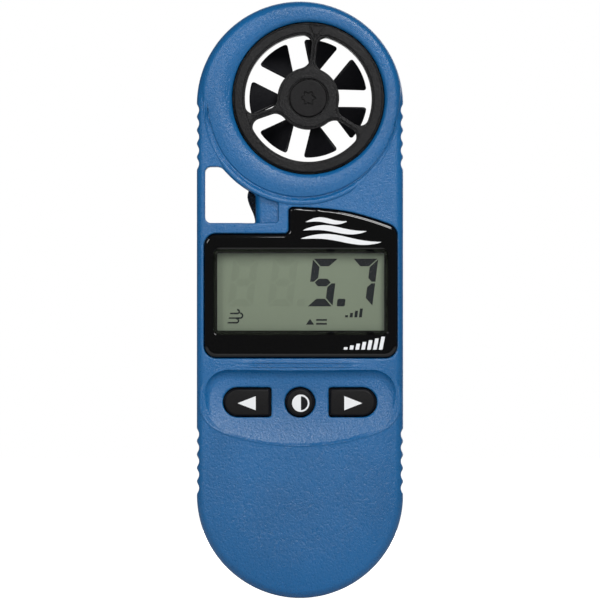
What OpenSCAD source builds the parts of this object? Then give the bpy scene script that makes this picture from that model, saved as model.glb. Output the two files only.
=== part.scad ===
// Handheld weather meter: a pocket wind meter with an impeller in its head, a display
// with three keys below it, and a coin cell behind a turning door in its back.
// +Z runs along its length, the front faces -Y, and the origin is under the foot's middle.

/* [Casing] */
// Width of the casing
casing_w = 42.2; // [42.2:0.1:43]
// Length of the casing
casing_l = 122; // [121.8:0.1:123]
// Thickness of the casing
casing_t = 18; // [18:0.1:19]
// Thickness of the casing's walls
wall = 1.7; // [1.5:0.1:1.8]
// Radius of the casing's rounded front edge
front_edge_r = 1.6; // [1.4:0.1:1.8]
// Radius of the casing's rounded rear edge
rear_edge_r = 3; // [2.4:0.1:3.2]
// Height of the raised ring round the impeller's bore above the face
ring_rise = 0.5; // [0.4:0.05:0.6]
// Depth of the plane where the two casings meet, measured from the middle
parting_y = 1; // [0.8:0.1:1.2]
// Depth of each grip groove in the sides
groove_depth = 0.4; // [0.2:0.1:0.5]
// Distance from one grip groove to the next
groove_pitch = 2.75; // [2.6:0.05:2.9]

/* [Impeller module] */
// Place of the impeller's axis, to the right of the casing's middle
duct_x = 1.7; // [1.4:0.1:1.8]
// Height of the impeller's axis above the foot
duct_z = 102.2; // [101.9:0.1:102.4]
// Radius of the casing's bore for the impeller module
duct_r = 15.6; // [15.5:0.05:15.7]
// Radius of the air passage through the module
passage_r = 13; // [12.8:0.1:13.2]
// Radius of the module's hubs
hub_r = 6.3; // [6:0.1:6.5]
// Radius over the tips of the rotor's blades
rotor_r = 12.1; // [11.5:0.1:12.3]
// Number of rotor blades
blade_count = 7; // [7:1:8]
// Pitch of the rotor's blades in degrees
blade_pitch = 38; // [25:1:42]

/* [Display] */
// Left edge of the display window
window_left = -19.6; // [-19.7:0.1:-19.4]
// Right edge of the display window
window_right = 19.9; // [19.8:0.1:20.2]
// Bottom edge of the display window
window_bottom = 49.1; // [48.9:0.1:49.3]
// Height of the display window's left shoulder
window_shoulder = 74.5; // [74.3:0.1:74.6]
// Top of the display window's raised part
window_top = 80.2; // [80:0.1:80.4]
// Thickness of the display window
window_t = 1.2; // [1:0.1:1.2]

/* [Keys] */
// Height of the keys' centre line
key_z = 40.05; // [39.8:0.05:40.3]
// Height of the oblong keys' openings
key_h = 6.1; // [5.9:0.1:6.2]
// Radius of the round key's opening
round_key_r = 3.1; // [2.9:0.1:3.2]
// Gap between a key and its opening
key_gap = 0.3; // [0.25:0.05:0.4]
// Travel of a key
key_travel = 0.75; // [0.5:0.05:0.75]
// Greatest depth of the hollow round the keys
scoop_depth = 1.6; // [1.2:0.1:1.7]

/* [Battery] */
// Radius of the coin cell
cell_r = 10; // [9.8:0.1:10]
// Thickness of the coin cell
cell_t = 3.2; // [3:0.1:3.2]
// Height of the cell's centre above the foot
battery_z = 27.5; // [27:0.1:28]
// Radius of the battery door
door_r = 13.7; // [13.6:0.05:13.75]
// Rise of the battery door in one full turn
door_lead = 12; // [11:0.5:13]

/* [Fasteners] */
// Radius of a casing screw's shank
screw_r = 0.9; // [0.7:0.05:0.95]
// Radius of a casing screw's head
screw_head_r = 1.8; // [1.6:0.1:1.9]

/* [Hidden] */
$fn = 64;
eps = 0.01;

casing_blue = "#2f6aa3";
module_grey = "#434343";
black = "#161617";
key_black = "#2e2d2f";
board_green = "#2f6b45";
steel = "#b9bcc0";
gold = "#c9a545";

// Casing
crest_y = -casing_t / 2;
front_y = crest_y + ring_rise;
rear_y = casing_t / 2;
end_r = casing_w / 2;
foot_z = end_r;
head_z = casing_l - end_r;
inner_x = end_r - wall;
inner_front = front_y + wall;
inner_rear = rear_y - wall;
tunnel_wall = 1.2;
groove_r = 1.45;
groove_groups = [88.8, 22.5];
groove_count = 5;
seal_w = 0.7;
seal_h = 1;
duct_seal_w = 0.5;
seal_gap = 0.05;

// Raised ring round the impeller's bore: its foot is a circle, its top a bulge of the
// radius bulge_r whose crest runs midway between the foot and the bore
ring_x = 0.4;
ring_z = 101.1;
ring_r = 19.15;
bulge_r = 7;

// Side window beside the head
port_left = -19.4;
port_right = -9.1;
port_bottom = 76.7;
port_top = 88.2;
port_arc_r = 20.5;
port_corner_r = 1.2;
notch_right = -4.4;
notch_top = 81.5;
notch_depth = 1;
notch_corner_r = 0.8;
plug_half_y = 5;
plug_gap = 0.15;
pocket_x = -7;
pocket_bottom = port_bottom + 0.5;
pocket_top = notch_top - 0.3;
pocket_wall = 1.1;
plug_head_r = 3.2;
plug_head_x = -7.6;
plug_head_z = 81.9;
plug_flank = [[-8, 76.9], [-9.3, 76.9], [-9.4, 78.5], [-9.8, 79.5], [-10.6, 80.9], [-8, 80.9]];
plug_end_gap = 0.2;

// Layers behind the display window, front to back
window_front = front_y + 0.05;
window_back = window_front + window_t;
mask_t = 0.1;
gasket_t = 0.3;
ledge_y = window_back + mask_t + gasket_t;
lcd_y = front_y + 3;
glass_t = 0.8;
film_t = 0.2;
board_y = front_y + 6.4;
board_t = 1;
board_back = board_y + board_t;

// Outline of the display window
shoulder_x = -2.3;
window_arc_r = 64;
window_arc_x = -4.5;
window_arc_z = 16.6;
window_corner_r = 1.5;
window_fit = 0.1;

// Display
lcd_x = 0.15;
view_w = 34.1;
view_bottom = 54.7;
view_top = 70.5;
glass_w = 36;
glass_bottom = 52.6;
glass_top = 72.6;
contact_ledge = 2;
strip_w = 1.4;
frame_wall = 0.95;

// Hollow round the keys: a shallow ring-shaped scoop cut off by its own outline
scoop_bottom = 31.1;
scoop_top = 46.8;
scoop_left = -19.6;
scoop_right = 19.9;
scoop_corner_r = 5.5;
scoop_outer_r = 49;
scoop_half_w = 10.4;
scoop_ring_r = scoop_outer_r - scoop_half_w;
scoop_tube_r = (pow(scoop_half_w, 2) + pow(scoop_depth, 2)) / (2 * scoop_depth);
scoop_ring_z = scoop_bottom + scoop_outer_r;
pad_y = front_y + 2.8;

// Keys
key_inner_x = 5.85;
key_outer_x = 15.75;
key_corner_r = 0.6;
key_front = front_y + 0.6;
flange_w = 0.8;
flange_t = 0.7;
flange_gap = 0.05;
collar_w = 1.1;
collar_gap = 0.4;
mat_t = 1.2;
pill_t = 0.15;
contact_t = 0.05;
pill_back = board_y - contact_t - 0.05 - key_travel;
pill_r = 1.8;

// Battery compartment in the rear casing
well_r = cell_r + 0.4;
well_wall_r = 12;
cell_back = rear_y - 2.6;
cell_front = cell_back - cell_t;
floor_back = cell_front - 0.2;
floor_front = floor_back - 0.8;
rim_depth = 1.3;
rim_floor = rear_y - rim_depth;
rim_r = door_r + 0.2;
mouth_r = 12.2;
collar_r = 15.3;
collar_front = rear_y - 3.1;
plug_r = 11.9;
lug_r = 12.7;
lug_front = rear_y - 2.5;
lug_h = 0.8;
lug_angle = 36;
lug_count = 3;
slot_gap_angle = 3;
slot_gap = 0.15;
arc_step = 6;
coin_slot_l = 15;
coin_slot_w = 1.8;
coin_slot_depth = 0.75;
door_seal_r = 13.35;
door_seal_cord_r = 0.23;
contact_w = 3;
leaf_t = 0.2;

// Impeller module
module_half = casing_t / 2 - 1.1;
module_r = duct_r - 0.07;
seat_r = 14.6;
mouth_chamfer = 0.3;
rim_chamfer = 0.6;
arm_angles = [83.5, 199, 328];
arm_w = 1.15;
arm_root_w = 3.2;
arm_front = module_half - 0.4;
arm_back = module_half - 2.6;
hub_back = 3.4;
tongue_in = 14;
tongue_out = 14.6;
tongue_h = 1;
plug_recess_r = 4.15;
cap_r = 3.85;
cap_t = 0.8;
bearing_r = 2;
plug_back = hub_back + 0.65;
jewel_r = 1.1;
jewel_t = 0.8;
axle_r = 0.5;
axle_half = 4.6;
rotor_hub_r = 5.2;
rotor_hub_half = 2.6;
blade_t = 0.6;
gap_half = 1.85;
magnet_r = 2.6;
magnet_half = 1.5;
magnet_y = 0.4;
lobe_r = 0.32;
lobe_ring_r = 0.95;

// Circuit board
board_x = 17.8;
board_bottom = 14;
board_shoulder = 75;
tab_left = -1.4;
tab_right = 10.5;
tab_top = 84;
coil_x = 3;
coil_z0 = 79.4;
coil_z1 = 84.6;
coil_r = 1.5;
bobbin_r = 0.7;
flange_h = 0.4;

// Fasteners
boss_r = 2.6;
boss_bore_r = screw_r + 0.15;
head_bore_r = screw_head_r + 0.2;
head_seat_y = rear_y - 2.4;
screw_head_t = 1.3;
screw_tip_y = front_y + 4.5;
casing_screw_places = [[-4.5, 79.5], [14.4, 80.6], [-11, 8.5], [11, 8.5]];
board_screw_places = [[-16, 48.3], [16, 48.3], [-13.6, 17.4], [13.6, 17.4]];
board_screw_r = 0.7;
board_screw_head_r = 1.5;
board_screw_head_t = 0.9;
board_screw_tip_y = front_y + 3;
board_boss_r = 1.8;
thread_gap = 0.05;

// Back of the casing
label_w = 27;
label_bottom = 47;
label_top = 73;
label_corner_r = 2;
label_t = 0.25;
eye_w = 7;
eye_bottom = 3.6;
eye_top = 8.2;
eye_depth = 4.2;
eye_wall = 1.2;
lanyard_pin_r = 0.8;
lanyard_pin_half = 5;
lanyard_pin_y = rear_y - 1.7;
lanyard_pin_z = 5.9;

// ---- Shared shapes ----

// Outlines drawn in X and Z, filled from the depth y0 to the depth y1.
module slab(y0, y1) {
  translate([0, y1, 0])
    rotate([90, 0, 0])
      linear_extrude(height = y1 - y0)
        children();
}

// A round bar along Y.
module bar(r, y0, y1, place = [0, 0]) {
  slab(y0, y1)
    translate(place)
      circle(r = r);
}

// A profile of radius against depth, turned round an axis along Y.
module turned(place) {
  translate([place[0], 0, place[1]])
    rotate([-90, 0, 0])
      rotate_extrude()
        children();
}

// A rectangle given by its two corners.
module box2(x0, z0, x1, z1) {
  translate([x0, z0])
    square([x1 - x0, z1 - z0]);
}

// A rectangle given by its two corners, with one corner radius.
module soft_box2(x0, z0, x1, z1, r) {
  box2(x0 + r, z0, x1 - r, z1);
  box2(x0, z0 + r, x1, z1 - r);
  for (x = [x0 + r, x1 - r], z = [z0 + r, z1 - r])
    translate([x, z])
      circle(r = r);
}

// Half of the casing's cross-section, radius against depth, between two depths.
module half_section(inset, y0, y1) {
  front_r = max(front_edge_r - inset, 0.5);
  rear_r = max(rear_edge_r - inset, 0.5);
  outer = end_r - inset;
  front = front_y + inset;
  rear = rear_y - inset;
  intersection() {
    union() {
      box2(0, front, outer - front_r, 0);
      box2(0, 0, outer - rear_r, rear);
      box2(0, front + front_r, outer, rear - rear_r);
      translate([outer - front_r, front + front_r])
        circle(r = front_r);
      translate([outer - rear_r, rear - rear_r])
        circle(r = rear_r);
    }
    box2(0, y0, casing_w, y1);
  }
}

// The casing's outer form, or its cavity when inset by the wall, between two depths.
module casing_form(inset, y0, y1) {
  for (end = [[foot_z, 0], [head_z, 180]])
    translate([0, 0, end[0]])
      rotate([-90, 0, 0])
        rotate_extrude(angle = 180, start = end[1])
          half_section(inset, y0, y1);
  translate([0, 0, foot_z])
    linear_extrude(height = head_z - foot_z) {
      half_section(inset, y0, y1);
      mirror([1, 0])
        half_section(inset, y0, y1);
    }
}

// The casing's face outline, inset from its edge.
module face_outline(inset) {
  for (z = [foot_z, head_z])
    translate([0, z])
      circle(r = end_r - inset);
  box2(inset - end_r, foot_z, end_r - inset, head_z);
}

// Outline of the side window beside the head.
module port_outline(grow) {
  difference() {
    soft_box2(port_left - grow, port_bottom - grow, port_right + grow, port_top + grow,
      port_corner_r);
    translate([0, head_z])
      circle(r = port_arc_r - grow);
  }
}

// Outline of the side window together with the pocket for the sensor port's plug.
module port_and_pocket(grow) {
  port_outline(grow);
  box2(port_right, pocket_bottom - grow, pocket_x + grow, pocket_top + grow);
}

// Outline of the display window: a rounded oblong with a raised, arched part on the right.
module window_outline(grow) {
  left = window_left - grow;
  right = window_right + grow;
  bottom = window_bottom - grow;
  arc_r = window_arc_r + grow;
  corner_r = window_corner_r + grow;
  corner_x = right - corner_r;
  reach = sqrt(pow(arc_r - corner_r, 2) - pow(corner_x - window_arc_x, 2));
  corner_z = window_arc_z + reach;
  blend_x = window_arc_x + (corner_x - window_arc_x) * arc_r / (arc_r - corner_r);
  soft_box2(left, bottom, right, window_shoulder + grow - 3, 2.5 + grow);
  soft_box2(left, bottom, corner_x - 5, window_shoulder + grow, 2.5 + grow);
  box2(0, window_shoulder - 6, right, corner_z);
  translate([corner_x, corner_z])
    circle(r = corner_r);
  intersection() {
    union() {
      box2(shoulder_x - grow, window_shoulder - 5, blend_x, window_top + grow - 1);
      box2(shoulder_x - grow + 1, window_shoulder - 5, blend_x, window_top + grow);
      translate([shoulder_x - grow + 1, window_top + grow - 1])
        circle(r = 1);
    }
    translate([window_arc_x, window_arc_z])
      circle(r = arc_r, $fn = 180);
  }
}

// Outline of the hollow round the keys.
module scoop_outline() {
  intersection() {
    soft_box2(scoop_left, scoop_bottom - 10, scoop_right, scoop_top, scoop_corner_r);
    translate([0, scoop_ring_z])
      circle(r = scoop_outer_r, $fn = 180);
  }
}

// The body that hollows out the face round the keys.
module scoop() {
  intersection() {
    slab(front_y - 1, pad_y)
      scoop_outline();
    turned([0, scoop_ring_z])
      translate([scoop_ring_r, front_y - scoop_tube_r + scoop_depth])
        circle(r = scoop_tube_r, $fn = 180);
  }
}

// Outline of an oblong key on the right, with its outer end fully round.
module oblong_key_outline(grow) {
  r = key_h / 2 + grow;
  round_x = key_outer_x + grow - r;
  inner = key_inner_x - grow;
  corner = key_corner_r;
  translate([round_x, key_z])
    circle(r = r);
  soft_box2(inner, key_z - r, round_x - 1, key_z + r, corner);
  box2(inner + corner, key_z - r, round_x, key_z + r);
}

// Outline of a key: side is -1 for the left one, 0 for the round one, 1 for the right one.
module key_outline(side, grow) {
  if (side == 0)
    translate([0, key_z])
      circle(r = round_key_r + grow);
  else
    scale([side, 1])
      oblong_key_outline(grow);
}

// All three key outlines.
module key_outlines(grow) {
  for (side = [-1, 0, 1])
    key_outline(side, grow);
}

// Outline of the one moulded seal that runs round the casing, the duct and the side window.
module seal_outline(spare) {
  mid = wall / 2;
  difference() {
    face_outline(mid - seal_w / 2 - spare);
    face_outline(mid + seal_w / 2 + spare);
  }
  difference() {
    translate([duct_x, duct_z])
      circle(r = duct_r + (tunnel_wall + duct_seal_w) / 2 + spare);
    translate([duct_x, duct_z])
      circle(r = duct_r + (tunnel_wall - duct_seal_w) / 2 - spare);
  }
  difference() {
    port_and_pocket((pocket_wall + duct_seal_w) / 2 + spare);
    port_and_pocket((pocket_wall - duct_seal_w) / 2 - spare);
  }
}

// The groove for that seal, half of it in each casing.
module seal_groove() {
  slab(parting_y - seal_h / 2 - seal_gap, parting_y + seal_h / 2 + seal_gap)
    seal_outline(seal_gap);
}

// Grip grooves along both sides.
module grip_grooves() {
  for (side = [-1, 1], z0 = groove_groups, i = [0 : groove_count - 1])
    bar(groove_r, crest_y - 1, rear_y + 1,
      [side * (end_r - groove_depth + groove_r), z0 + i * groove_pitch]);
}

// The raised ring round the impeller's bore, before the bore is cut through it.
module head_ring() {
  mid_x = (ring_x + duct_x) / 2;
  mid_z = (ring_z + duct_z) / 2;
  mid_r = (ring_r + duct_r) / 2;
  intersection() {
    bar(ring_r, crest_y - 1, inner_front, [ring_x, ring_z]);
    turned([mid_x, mid_z])
      intersection() {
        translate([mid_r, crest_y + bulge_r])
          circle(r = bulge_r, $fn = 180);
        box2(duct_r - 2, crest_y - 1, ring_r + 2, inner_front);
      }
  }
}

// A group of solids, one at each of a list of places in X and Z.
module at_places(places) {
  for (p = places)
    translate([p[0], 0, p[1]])
      children();
}

// ---- Casing ----

module front_casing() {
  color(casing_blue)
    difference() {
      union() {
        difference() {
          casing_form(0, front_y, parting_y);
          casing_form(wall, front_y, parting_y + 1);
        }
        head_ring();
        bar(duct_r + tunnel_wall, inner_front - 0.6, parting_y, [duct_x, duct_z]);
        slab(inner_front - 0.2, parting_y)
          port_and_pocket(pocket_wall);
        slab(inner_front - 0.2, lcd_y - 0.1)
          intersection() {
            window_outline(0.8);
            box2(-inner_x - 0.2, 0, inner_x + 0.2, casing_l);
          }
        slab(inner_front - 0.2, pad_y)
          box2(-inner_x - 0.2, scoop_bottom, inner_x + 0.2, window_bottom);
        slab(inner_front - 0.2, inner_front + 0.8)
          box2(port_right, port_bottom - 1, notch_right + 1, notch_top + 1);
        at_places(casing_screw_places)
          bar(boss_r, inner_front - 0.2, parting_y);
        at_places(board_screw_places)
          bar(board_boss_r, inner_front - 0.2, board_y);
      }
      bar(duct_r, crest_y - 1, parting_y + 1, [duct_x, duct_z]);
      slab(front_y - 1, parting_y + 1)
        port_outline(0);
      slab(front_y - 1, front_y + notch_depth)
        soft_box2(port_right - 2, port_bottom, notch_right, notch_top, notch_corner_r);
      slab(-plug_half_y, parting_y + 1)
        box2(port_right - 1, pocket_bottom, pocket_x, pocket_top);
      slab(front_y - 1, ledge_y)
        window_outline(window_fit);
      slab(ledge_y - 1, lcd_y)
        box2(lcd_x - view_w / 2 - 0.5, view_bottom - 0.5, lcd_x + view_w / 2 + 0.5,
          view_top + 0.5);
      scoop();
      slab(front_y, pad_y + 1)
        key_outlines(0);
      grip_grooves();
      seal_groove();
      at_places(casing_screw_places)
        bar(screw_r + thread_gap, screw_tip_y - 0.5, parting_y + 1);
      at_places(board_screw_places)
        bar(board_screw_r + thread_gap, board_screw_tip_y - 0.2, board_y + 1);
    }
}

// A helical channel or lug: a ring sector that turns as it rises along +Y.
module helix(r0, r1, angle, y0, y1, at_angle) {
  steps = ceil((angle + 360 * (y1 - y0) / door_lead) / arc_step);
  translate([0, y0, battery_z])
    rotate([-90, 0, 0])
      rotate(at_angle)
        linear_extrude(height = y1 - y0, twist = -360 * (y1 - y0) / door_lead,
          slices = ceil(360 * (y1 - y0) / door_lead / arc_step))
          polygon(concat(
            [for (i = [0 : steps]) r0 * [cos(angle * i / steps), sin(angle * i / steps)]],
            [for (i = [steps : -1 : 0]) r1 * [cos(angle * i / steps), sin(angle * i / steps)]]
          ));
}

// The three helical channels in the battery mouth, open towards the back.
module door_channels() {
  low = lug_front - slot_gap;
  for (i = [0 : lug_count - 1])
    helix(plug_r - 1, lug_r + 0.2, lug_angle + 2 * slot_gap_angle, low, rim_floor + 0.5,
      360 * i / lug_count - slot_gap_angle - 360 * slot_gap / door_lead);
}

module rear_casing() {
  battery = [0, battery_z];
  color(casing_blue)
    difference() {
      union() {
        difference() {
          casing_form(0, parting_y, rear_y);
          casing_form(wall, parting_y - 1, rear_y);
        }
        bar(duct_r + tunnel_wall, parting_y, inner_rear + 0.6, [duct_x, duct_z]);
        slab(parting_y, inner_rear + 0.2)
          port_and_pocket(pocket_wall);
        bar(well_wall_r, floor_front, inner_rear + 0.2, battery);
        bar(collar_r, collar_front, inner_rear + 0.2, battery);
        at_places(casing_screw_places)
          bar(boss_r, parting_y, inner_rear + 0.2);
        slab(rear_y - eye_depth - eye_wall, inner_rear + 0.2)
          box2(-lanyard_pin_half - 1, eye_bottom - eye_wall, lanyard_pin_half + 1,
            eye_top + eye_wall);
      }
      bar(duct_r, parting_y - 1, module_half + 0.05, [duct_x, duct_z]);
      bar(seat_r, parting_y, rear_y + 1, [duct_x, duct_z]);
      slab(parting_y - 1, rear_y + 1)
        port_outline(0);
      slab(parting_y - 1, plug_half_y)
        box2(port_right - 1, pocket_bottom, pocket_x, pocket_top);
      bar(well_r, floor_back, rear_y, battery);
      bar(mouth_r, collar_front + 0.3, rear_y, battery);
      bar(rim_r, rim_floor, rear_y + 1, battery);
      door_channels();
      slab(floor_front - 1, floor_back + 1) {
        box2(-2.2, battery_z - 5, 2.2, battery_z + 5);
        box2(cell_r - 0.4, battery_z - 2, cell_r + 0.4, battery_z + 2);
      }
      grip_grooves();
      seal_groove();
      at_places(casing_screw_places) {
        bar(boss_bore_r, parting_y - 1, rear_y);
        bar(head_bore_r, head_seat_y, rear_y + 1);
      }
      slab(rear_y - label_t, rear_y + 1)
        soft_box2(-label_w / 2, label_bottom, label_w / 2, label_top, label_corner_r);
      slab(rear_y - eye_depth, rear_y + 1)
        soft_box2(-eye_w / 2, eye_bottom, eye_w / 2, eye_top, 1);
      translate([-lanyard_pin_half, lanyard_pin_y, lanyard_pin_z])
        rotate([0, 90, 0])
          cylinder(r = lanyard_pin_r + thread_gap, h = 2 * lanyard_pin_half);
    }
}

module casing_seal() {
  color(black)
    slab(parting_y - seal_h / 2, parting_y + seal_h / 2)
      seal_outline(0);
}

module sensor_port_plug() {
  color(black) {
    slab(-plug_half_y + plug_end_gap, plug_half_y - plug_end_gap)
      intersection() {
        port_outline(-plug_gap);
        union() {
          translate([plug_head_x, plug_head_z])
            circle(r = plug_head_r);
          polygon(plug_flank);
        }
      }
    slab(-plug_half_y + 2 * plug_end_gap, plug_half_y - 2 * plug_end_gap)
      box2(port_right - 0.3, pocket_bottom + plug_end_gap, pocket_x - 0.1,
        pocket_top - plug_end_gap);
  }
}

module casing_screws() {
  color(steel)
    at_places(casing_screw_places)
      difference() {
        union() {
          bar(screw_r, screw_tip_y, head_seat_y + eps);
          bar(screw_head_r, head_seat_y, head_seat_y + screw_head_t);
        }
        slab(head_seat_y + 0.5, head_seat_y + screw_head_t + 1)
          for (turn = [0, 90])
            rotate(turn)
              square([2 * screw_r + 0.4, 0.5], center = true);
      }
}

module rear_label() {
  color("#a8abae")
    slab(rear_y - label_t, rear_y - 0.05)
      soft_box2(0.15 - label_w / 2, label_bottom + 0.15, label_w / 2 - 0.15,
        label_top - 0.15, label_corner_r - 0.15);
}

module lanyard_pin() {
  color(steel)
    translate([-lanyard_pin_half + 0.1, lanyard_pin_y, lanyard_pin_z])
      rotate([0, 90, 0])
        cylinder(r = lanyard_pin_r, h = 2 * lanyard_pin_half - 0.2);
}

// ---- Display ----

module display_window() {
  color("#101214")
    slab(window_front, window_back)
      window_outline(0);
}

// A sheet behind the window with an opening for the display.
module window_sheet(y0, y1, inset, margin) {
  slab(y0, y1)
    difference() {
      window_outline(-inset);
      box2(lcd_x - view_w / 2 - margin, view_bottom - margin, lcd_x + view_w / 2 + margin,
        view_top + margin);
    }
}

module window_mask() {
  color(black)
    window_sheet(window_back, window_back + mask_t, 0.1, 0);
}

module window_gasket() {
  color("#38383a")
    window_sheet(window_back + mask_t, ledge_y, 0.3, 0.5);
}

// A rectangular plate of the display.
module lcd_plate(y, t, trim_bottom, trim_top) {
  slab(y, y + t)
    box2(lcd_x - glass_w / 2, glass_bottom + trim_bottom, lcd_x + glass_w / 2,
      glass_top - trim_top);
}

module lcd_front_glass() {
  color("#7d8576")
    lcd_plate(lcd_y, glass_t, 0, 0);
}

module lcd_rear_glass() {
  color("#8b9282")
    lcd_plate(lcd_y + glass_t, glass_t, contact_ledge, contact_ledge);
}

module lcd_reflector() {
  color("#9aa08f")
    lcd_plate(lcd_y + 2 * glass_t, film_t, contact_ledge, contact_ledge);
}

module lcd_frame() {
  inner = glass_w / 2 + 0.05;
  color("#d8d8d4")
    difference() {
      slab(lcd_y, board_y)
        box2(lcd_x - inner - frame_wall, glass_bottom - 0.05 - frame_wall,
          lcd_x + inner + frame_wall, glass_top + 0.05 + frame_wall);
      slab(lcd_y - 1, lcd_y + glass_t)
        box2(lcd_x - inner, glass_bottom - 0.05, lcd_x + inner, glass_top + 0.05);
      slab(lcd_y, board_y + 1)
        box2(lcd_x - inner, glass_bottom + contact_ledge - 0.1, lcd_x + inner,
          glass_top - contact_ledge + 0.1);
      lcd_strip_boxes(0.05);
    }
}

// The two contact strips' places under the display's long edges.
module lcd_strip_boxes(spare) {
  half = glass_w / 2 - 1 + spare;
  for (z = [glass_bottom + 0.9, glass_top - 0.9])
    slab(lcd_y + glass_t, board_y)
      box2(lcd_x - half, z - strip_w / 2 - spare, lcd_x + half, z + strip_w / 2 + spare);
}

module lcd_contact_strips() {
  color("#3a3a3a")
    lcd_strip_boxes(0);
}

// ---- Electronics ----

module circuit_board() {
  color(board_green)
    difference() {
      slab(board_y, board_back) {
        polygon([[-16.4, board_bottom], [16.4, board_bottom], [board_x, 19],
          [board_x, board_shoulder], [-board_x, board_shoulder], [-board_x, 19]]);
        box2(tab_left, board_shoulder - 1, tab_right, tab_top);
      }
      at_places(board_screw_places)
        bar(board_screw_r + 0.2, board_y - 1, board_back + 1);
    }
}

module controller_chip() {
  chip = [7, 7];
  place = [6, 62];
  pin_pitch = 0.8;
  color("#1c1c1e") {
    slab(board_back + 0.1, board_back + 1.4)
      translate(place)
        square(chip, center = true);
    slab(board_back, board_back + 0.2)
      translate(place)
        for (turn = [0, 90], i = [-3 : 3])
          rotate(turn)
            translate([0, i * pin_pitch])
              square([chip[0] + 1.6, 0.35], center = true);
  }
}

module timing_crystal() {
  color(steel)
    translate([-6, board_back + 1.02, 58])
      cylinder(r = 1, h = 6);
}

module board_capacitors() {
  color("#b49368")
    for (z = [52, 66, 71], x = [-11, 13])
      slab(board_back, board_back + 0.8)
        box2(x - 1, z - 0.6, x + 1, z + 0.6);
}

module key_contacts() {
  color(gold)
    slab(board_y - contact_t, board_y)
      for (side = [-1, 0, 1])
        translate([side * (key_inner_x + key_outer_x) / 2, key_z])
          difference() {
            circle(r = pill_r);
            square([2 * pill_r + 1, 0.3], center = true);
          }
}

module coil_bobbin() {
  color("#e4e0d2")
    translate([coil_x, board_back + coil_r + 0.2, 0]) {
      translate([0, 0, coil_z0])
        cylinder(r = bobbin_r, h = coil_z1 - coil_z0);
      for (z = [coil_z0, coil_z1 - flange_h])
        translate([0, 0, z])
          cylinder(r = coil_r + 0.15, h = flange_h);
    }
}

module pickup_coil() {
  color("#b5673a")
    translate([coil_x, board_back + coil_r + 0.2, coil_z0 + flange_h])
      difference() {
        cylinder(r = coil_r, h = coil_z1 - coil_z0 - 2 * flange_h);
        translate([0, 0, -1])
          cylinder(r = bobbin_r + 0.03, h = coil_z1 - coil_z0 + 2);
      }
}

module board_screws() {
  color(steel)
    at_places(board_screw_places)
      difference() {
        union() {
          bar(board_screw_r, board_screw_tip_y, board_back + eps);
          bar(board_screw_head_r, board_back, board_back + board_screw_head_t);
        }
        slab(board_back + 0.4, board_back + 2)
          for (turn = [0, 90])
            rotate(turn)
              square([1.9, 0.4], center = true);
      }
}

// ---- Keys ----

module keypad_mat() {
  color("#3b3b3d")
    difference() {
      union() {
        slab(board_y - mat_t, board_y)
          box2(-18.2, key_z - 6, 18.2, key_z + 6);
        slab(pad_y, board_y)
          key_outlines(flange_w + collar_gap + collar_w - key_gap);
      }
      slab(pad_y - 1, board_y + 1)
        key_outlines(flange_w + collar_gap - key_gap);
    }
}

// A key: its cap, the flange that keeps it in, and its stem.
module key(side) {
  flange_front = pad_y + flange_gap;
  color(key_black) {
    slab(key_front, flange_front + flange_t)
      key_outline(side, -key_gap);
    slab(flange_front, flange_front + flange_t)
      key_outline(side, flange_w - key_gap);
    bar(pill_r + 0.3, flange_front, pill_back - pill_t,
      [side * (key_inner_x + key_outer_x) / 2, key_z]);
  }
}

module left_key() {
  key(-1);
}

module power_key() {
  key(0);
}

module right_key() {
  key(1);
}

// The conductive pill under a key's stem.
module key_pill(side) {
  color("#0d0d0e")
    bar(pill_r, pill_back - pill_t, pill_back, [side * (key_inner_x + key_outer_x) / 2, key_z]);
}

module left_key_pill() {
  key_pill(-1);
}

module power_key_pill() {
  key_pill(0);
}

module right_key_pill() {
  key_pill(1);
}

// ---- Battery ----

module coin_cell() {
  color("#c9ccd0") {
    bar(cell_r, cell_front + 0.3, cell_back, [0, battery_z]);
    bar(cell_r - 1.2, cell_front, cell_front + 0.4, [0, battery_z]);
  }
}

module negative_contact() {
  half = contact_w / 2;
  color(gold) {
    slab(board_back, board_back + leaf_t)
      box2(-half, battery_z - 4, half, battery_z - 1);
    slab(board_back, cell_front - 0.02)
      box2(-half, battery_z - 4, half, battery_z - 4 + leaf_t);
    slab(cell_front - leaf_t - 0.02, cell_front - 0.02)
      box2(-half, battery_z - 4, half, battery_z + 4);
  }
}

module positive_contact() {
  half = contact_w / 2;
  color(gold) {
    slab(board_back, board_back + leaf_t)
      box2(cell_r + 0.03, battery_z - half, cell_r + 2.5, battery_z + half);
    slab(board_back, cell_back - 0.6)
      box2(cell_r + 0.03, battery_z - half, cell_r + 0.03 + leaf_t, battery_z + half);
  }
}

module battery_door() {
  battery = [0, battery_z];
  color(casing_blue)
    difference() {
      union() {
        bar(door_r, rim_floor + 0.1, rear_y - 0.05, battery);
        bar(plug_r, cell_back + 0.1, rim_floor + 0.2, battery);
        for (i = [0 : lug_count - 1])
          helix(plug_r - 0.3, lug_r, lug_angle, lug_front, lug_front + lug_h,
            360 * i / lug_count);
      }
      turned(battery)
        box2(door_seal_r - door_seal_cord_r - 0.07, rim_floor - 1, door_r + 1,
          rim_floor + 2 * door_seal_cord_r + 0.1);
      slab(rear_y - coin_slot_depth, rear_y + 1)
        translate([0, battery_z])
          square([coin_slot_l, coin_slot_w], center = true);
    }
}

module door_seal() {
  color(black)
    turned([0, battery_z])
      translate([door_seal_r, rim_floor + 0.02 + door_seal_cord_r])
        circle(r = door_seal_cord_r, $fn = 24);
}

// ---- Impeller module ----

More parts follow.
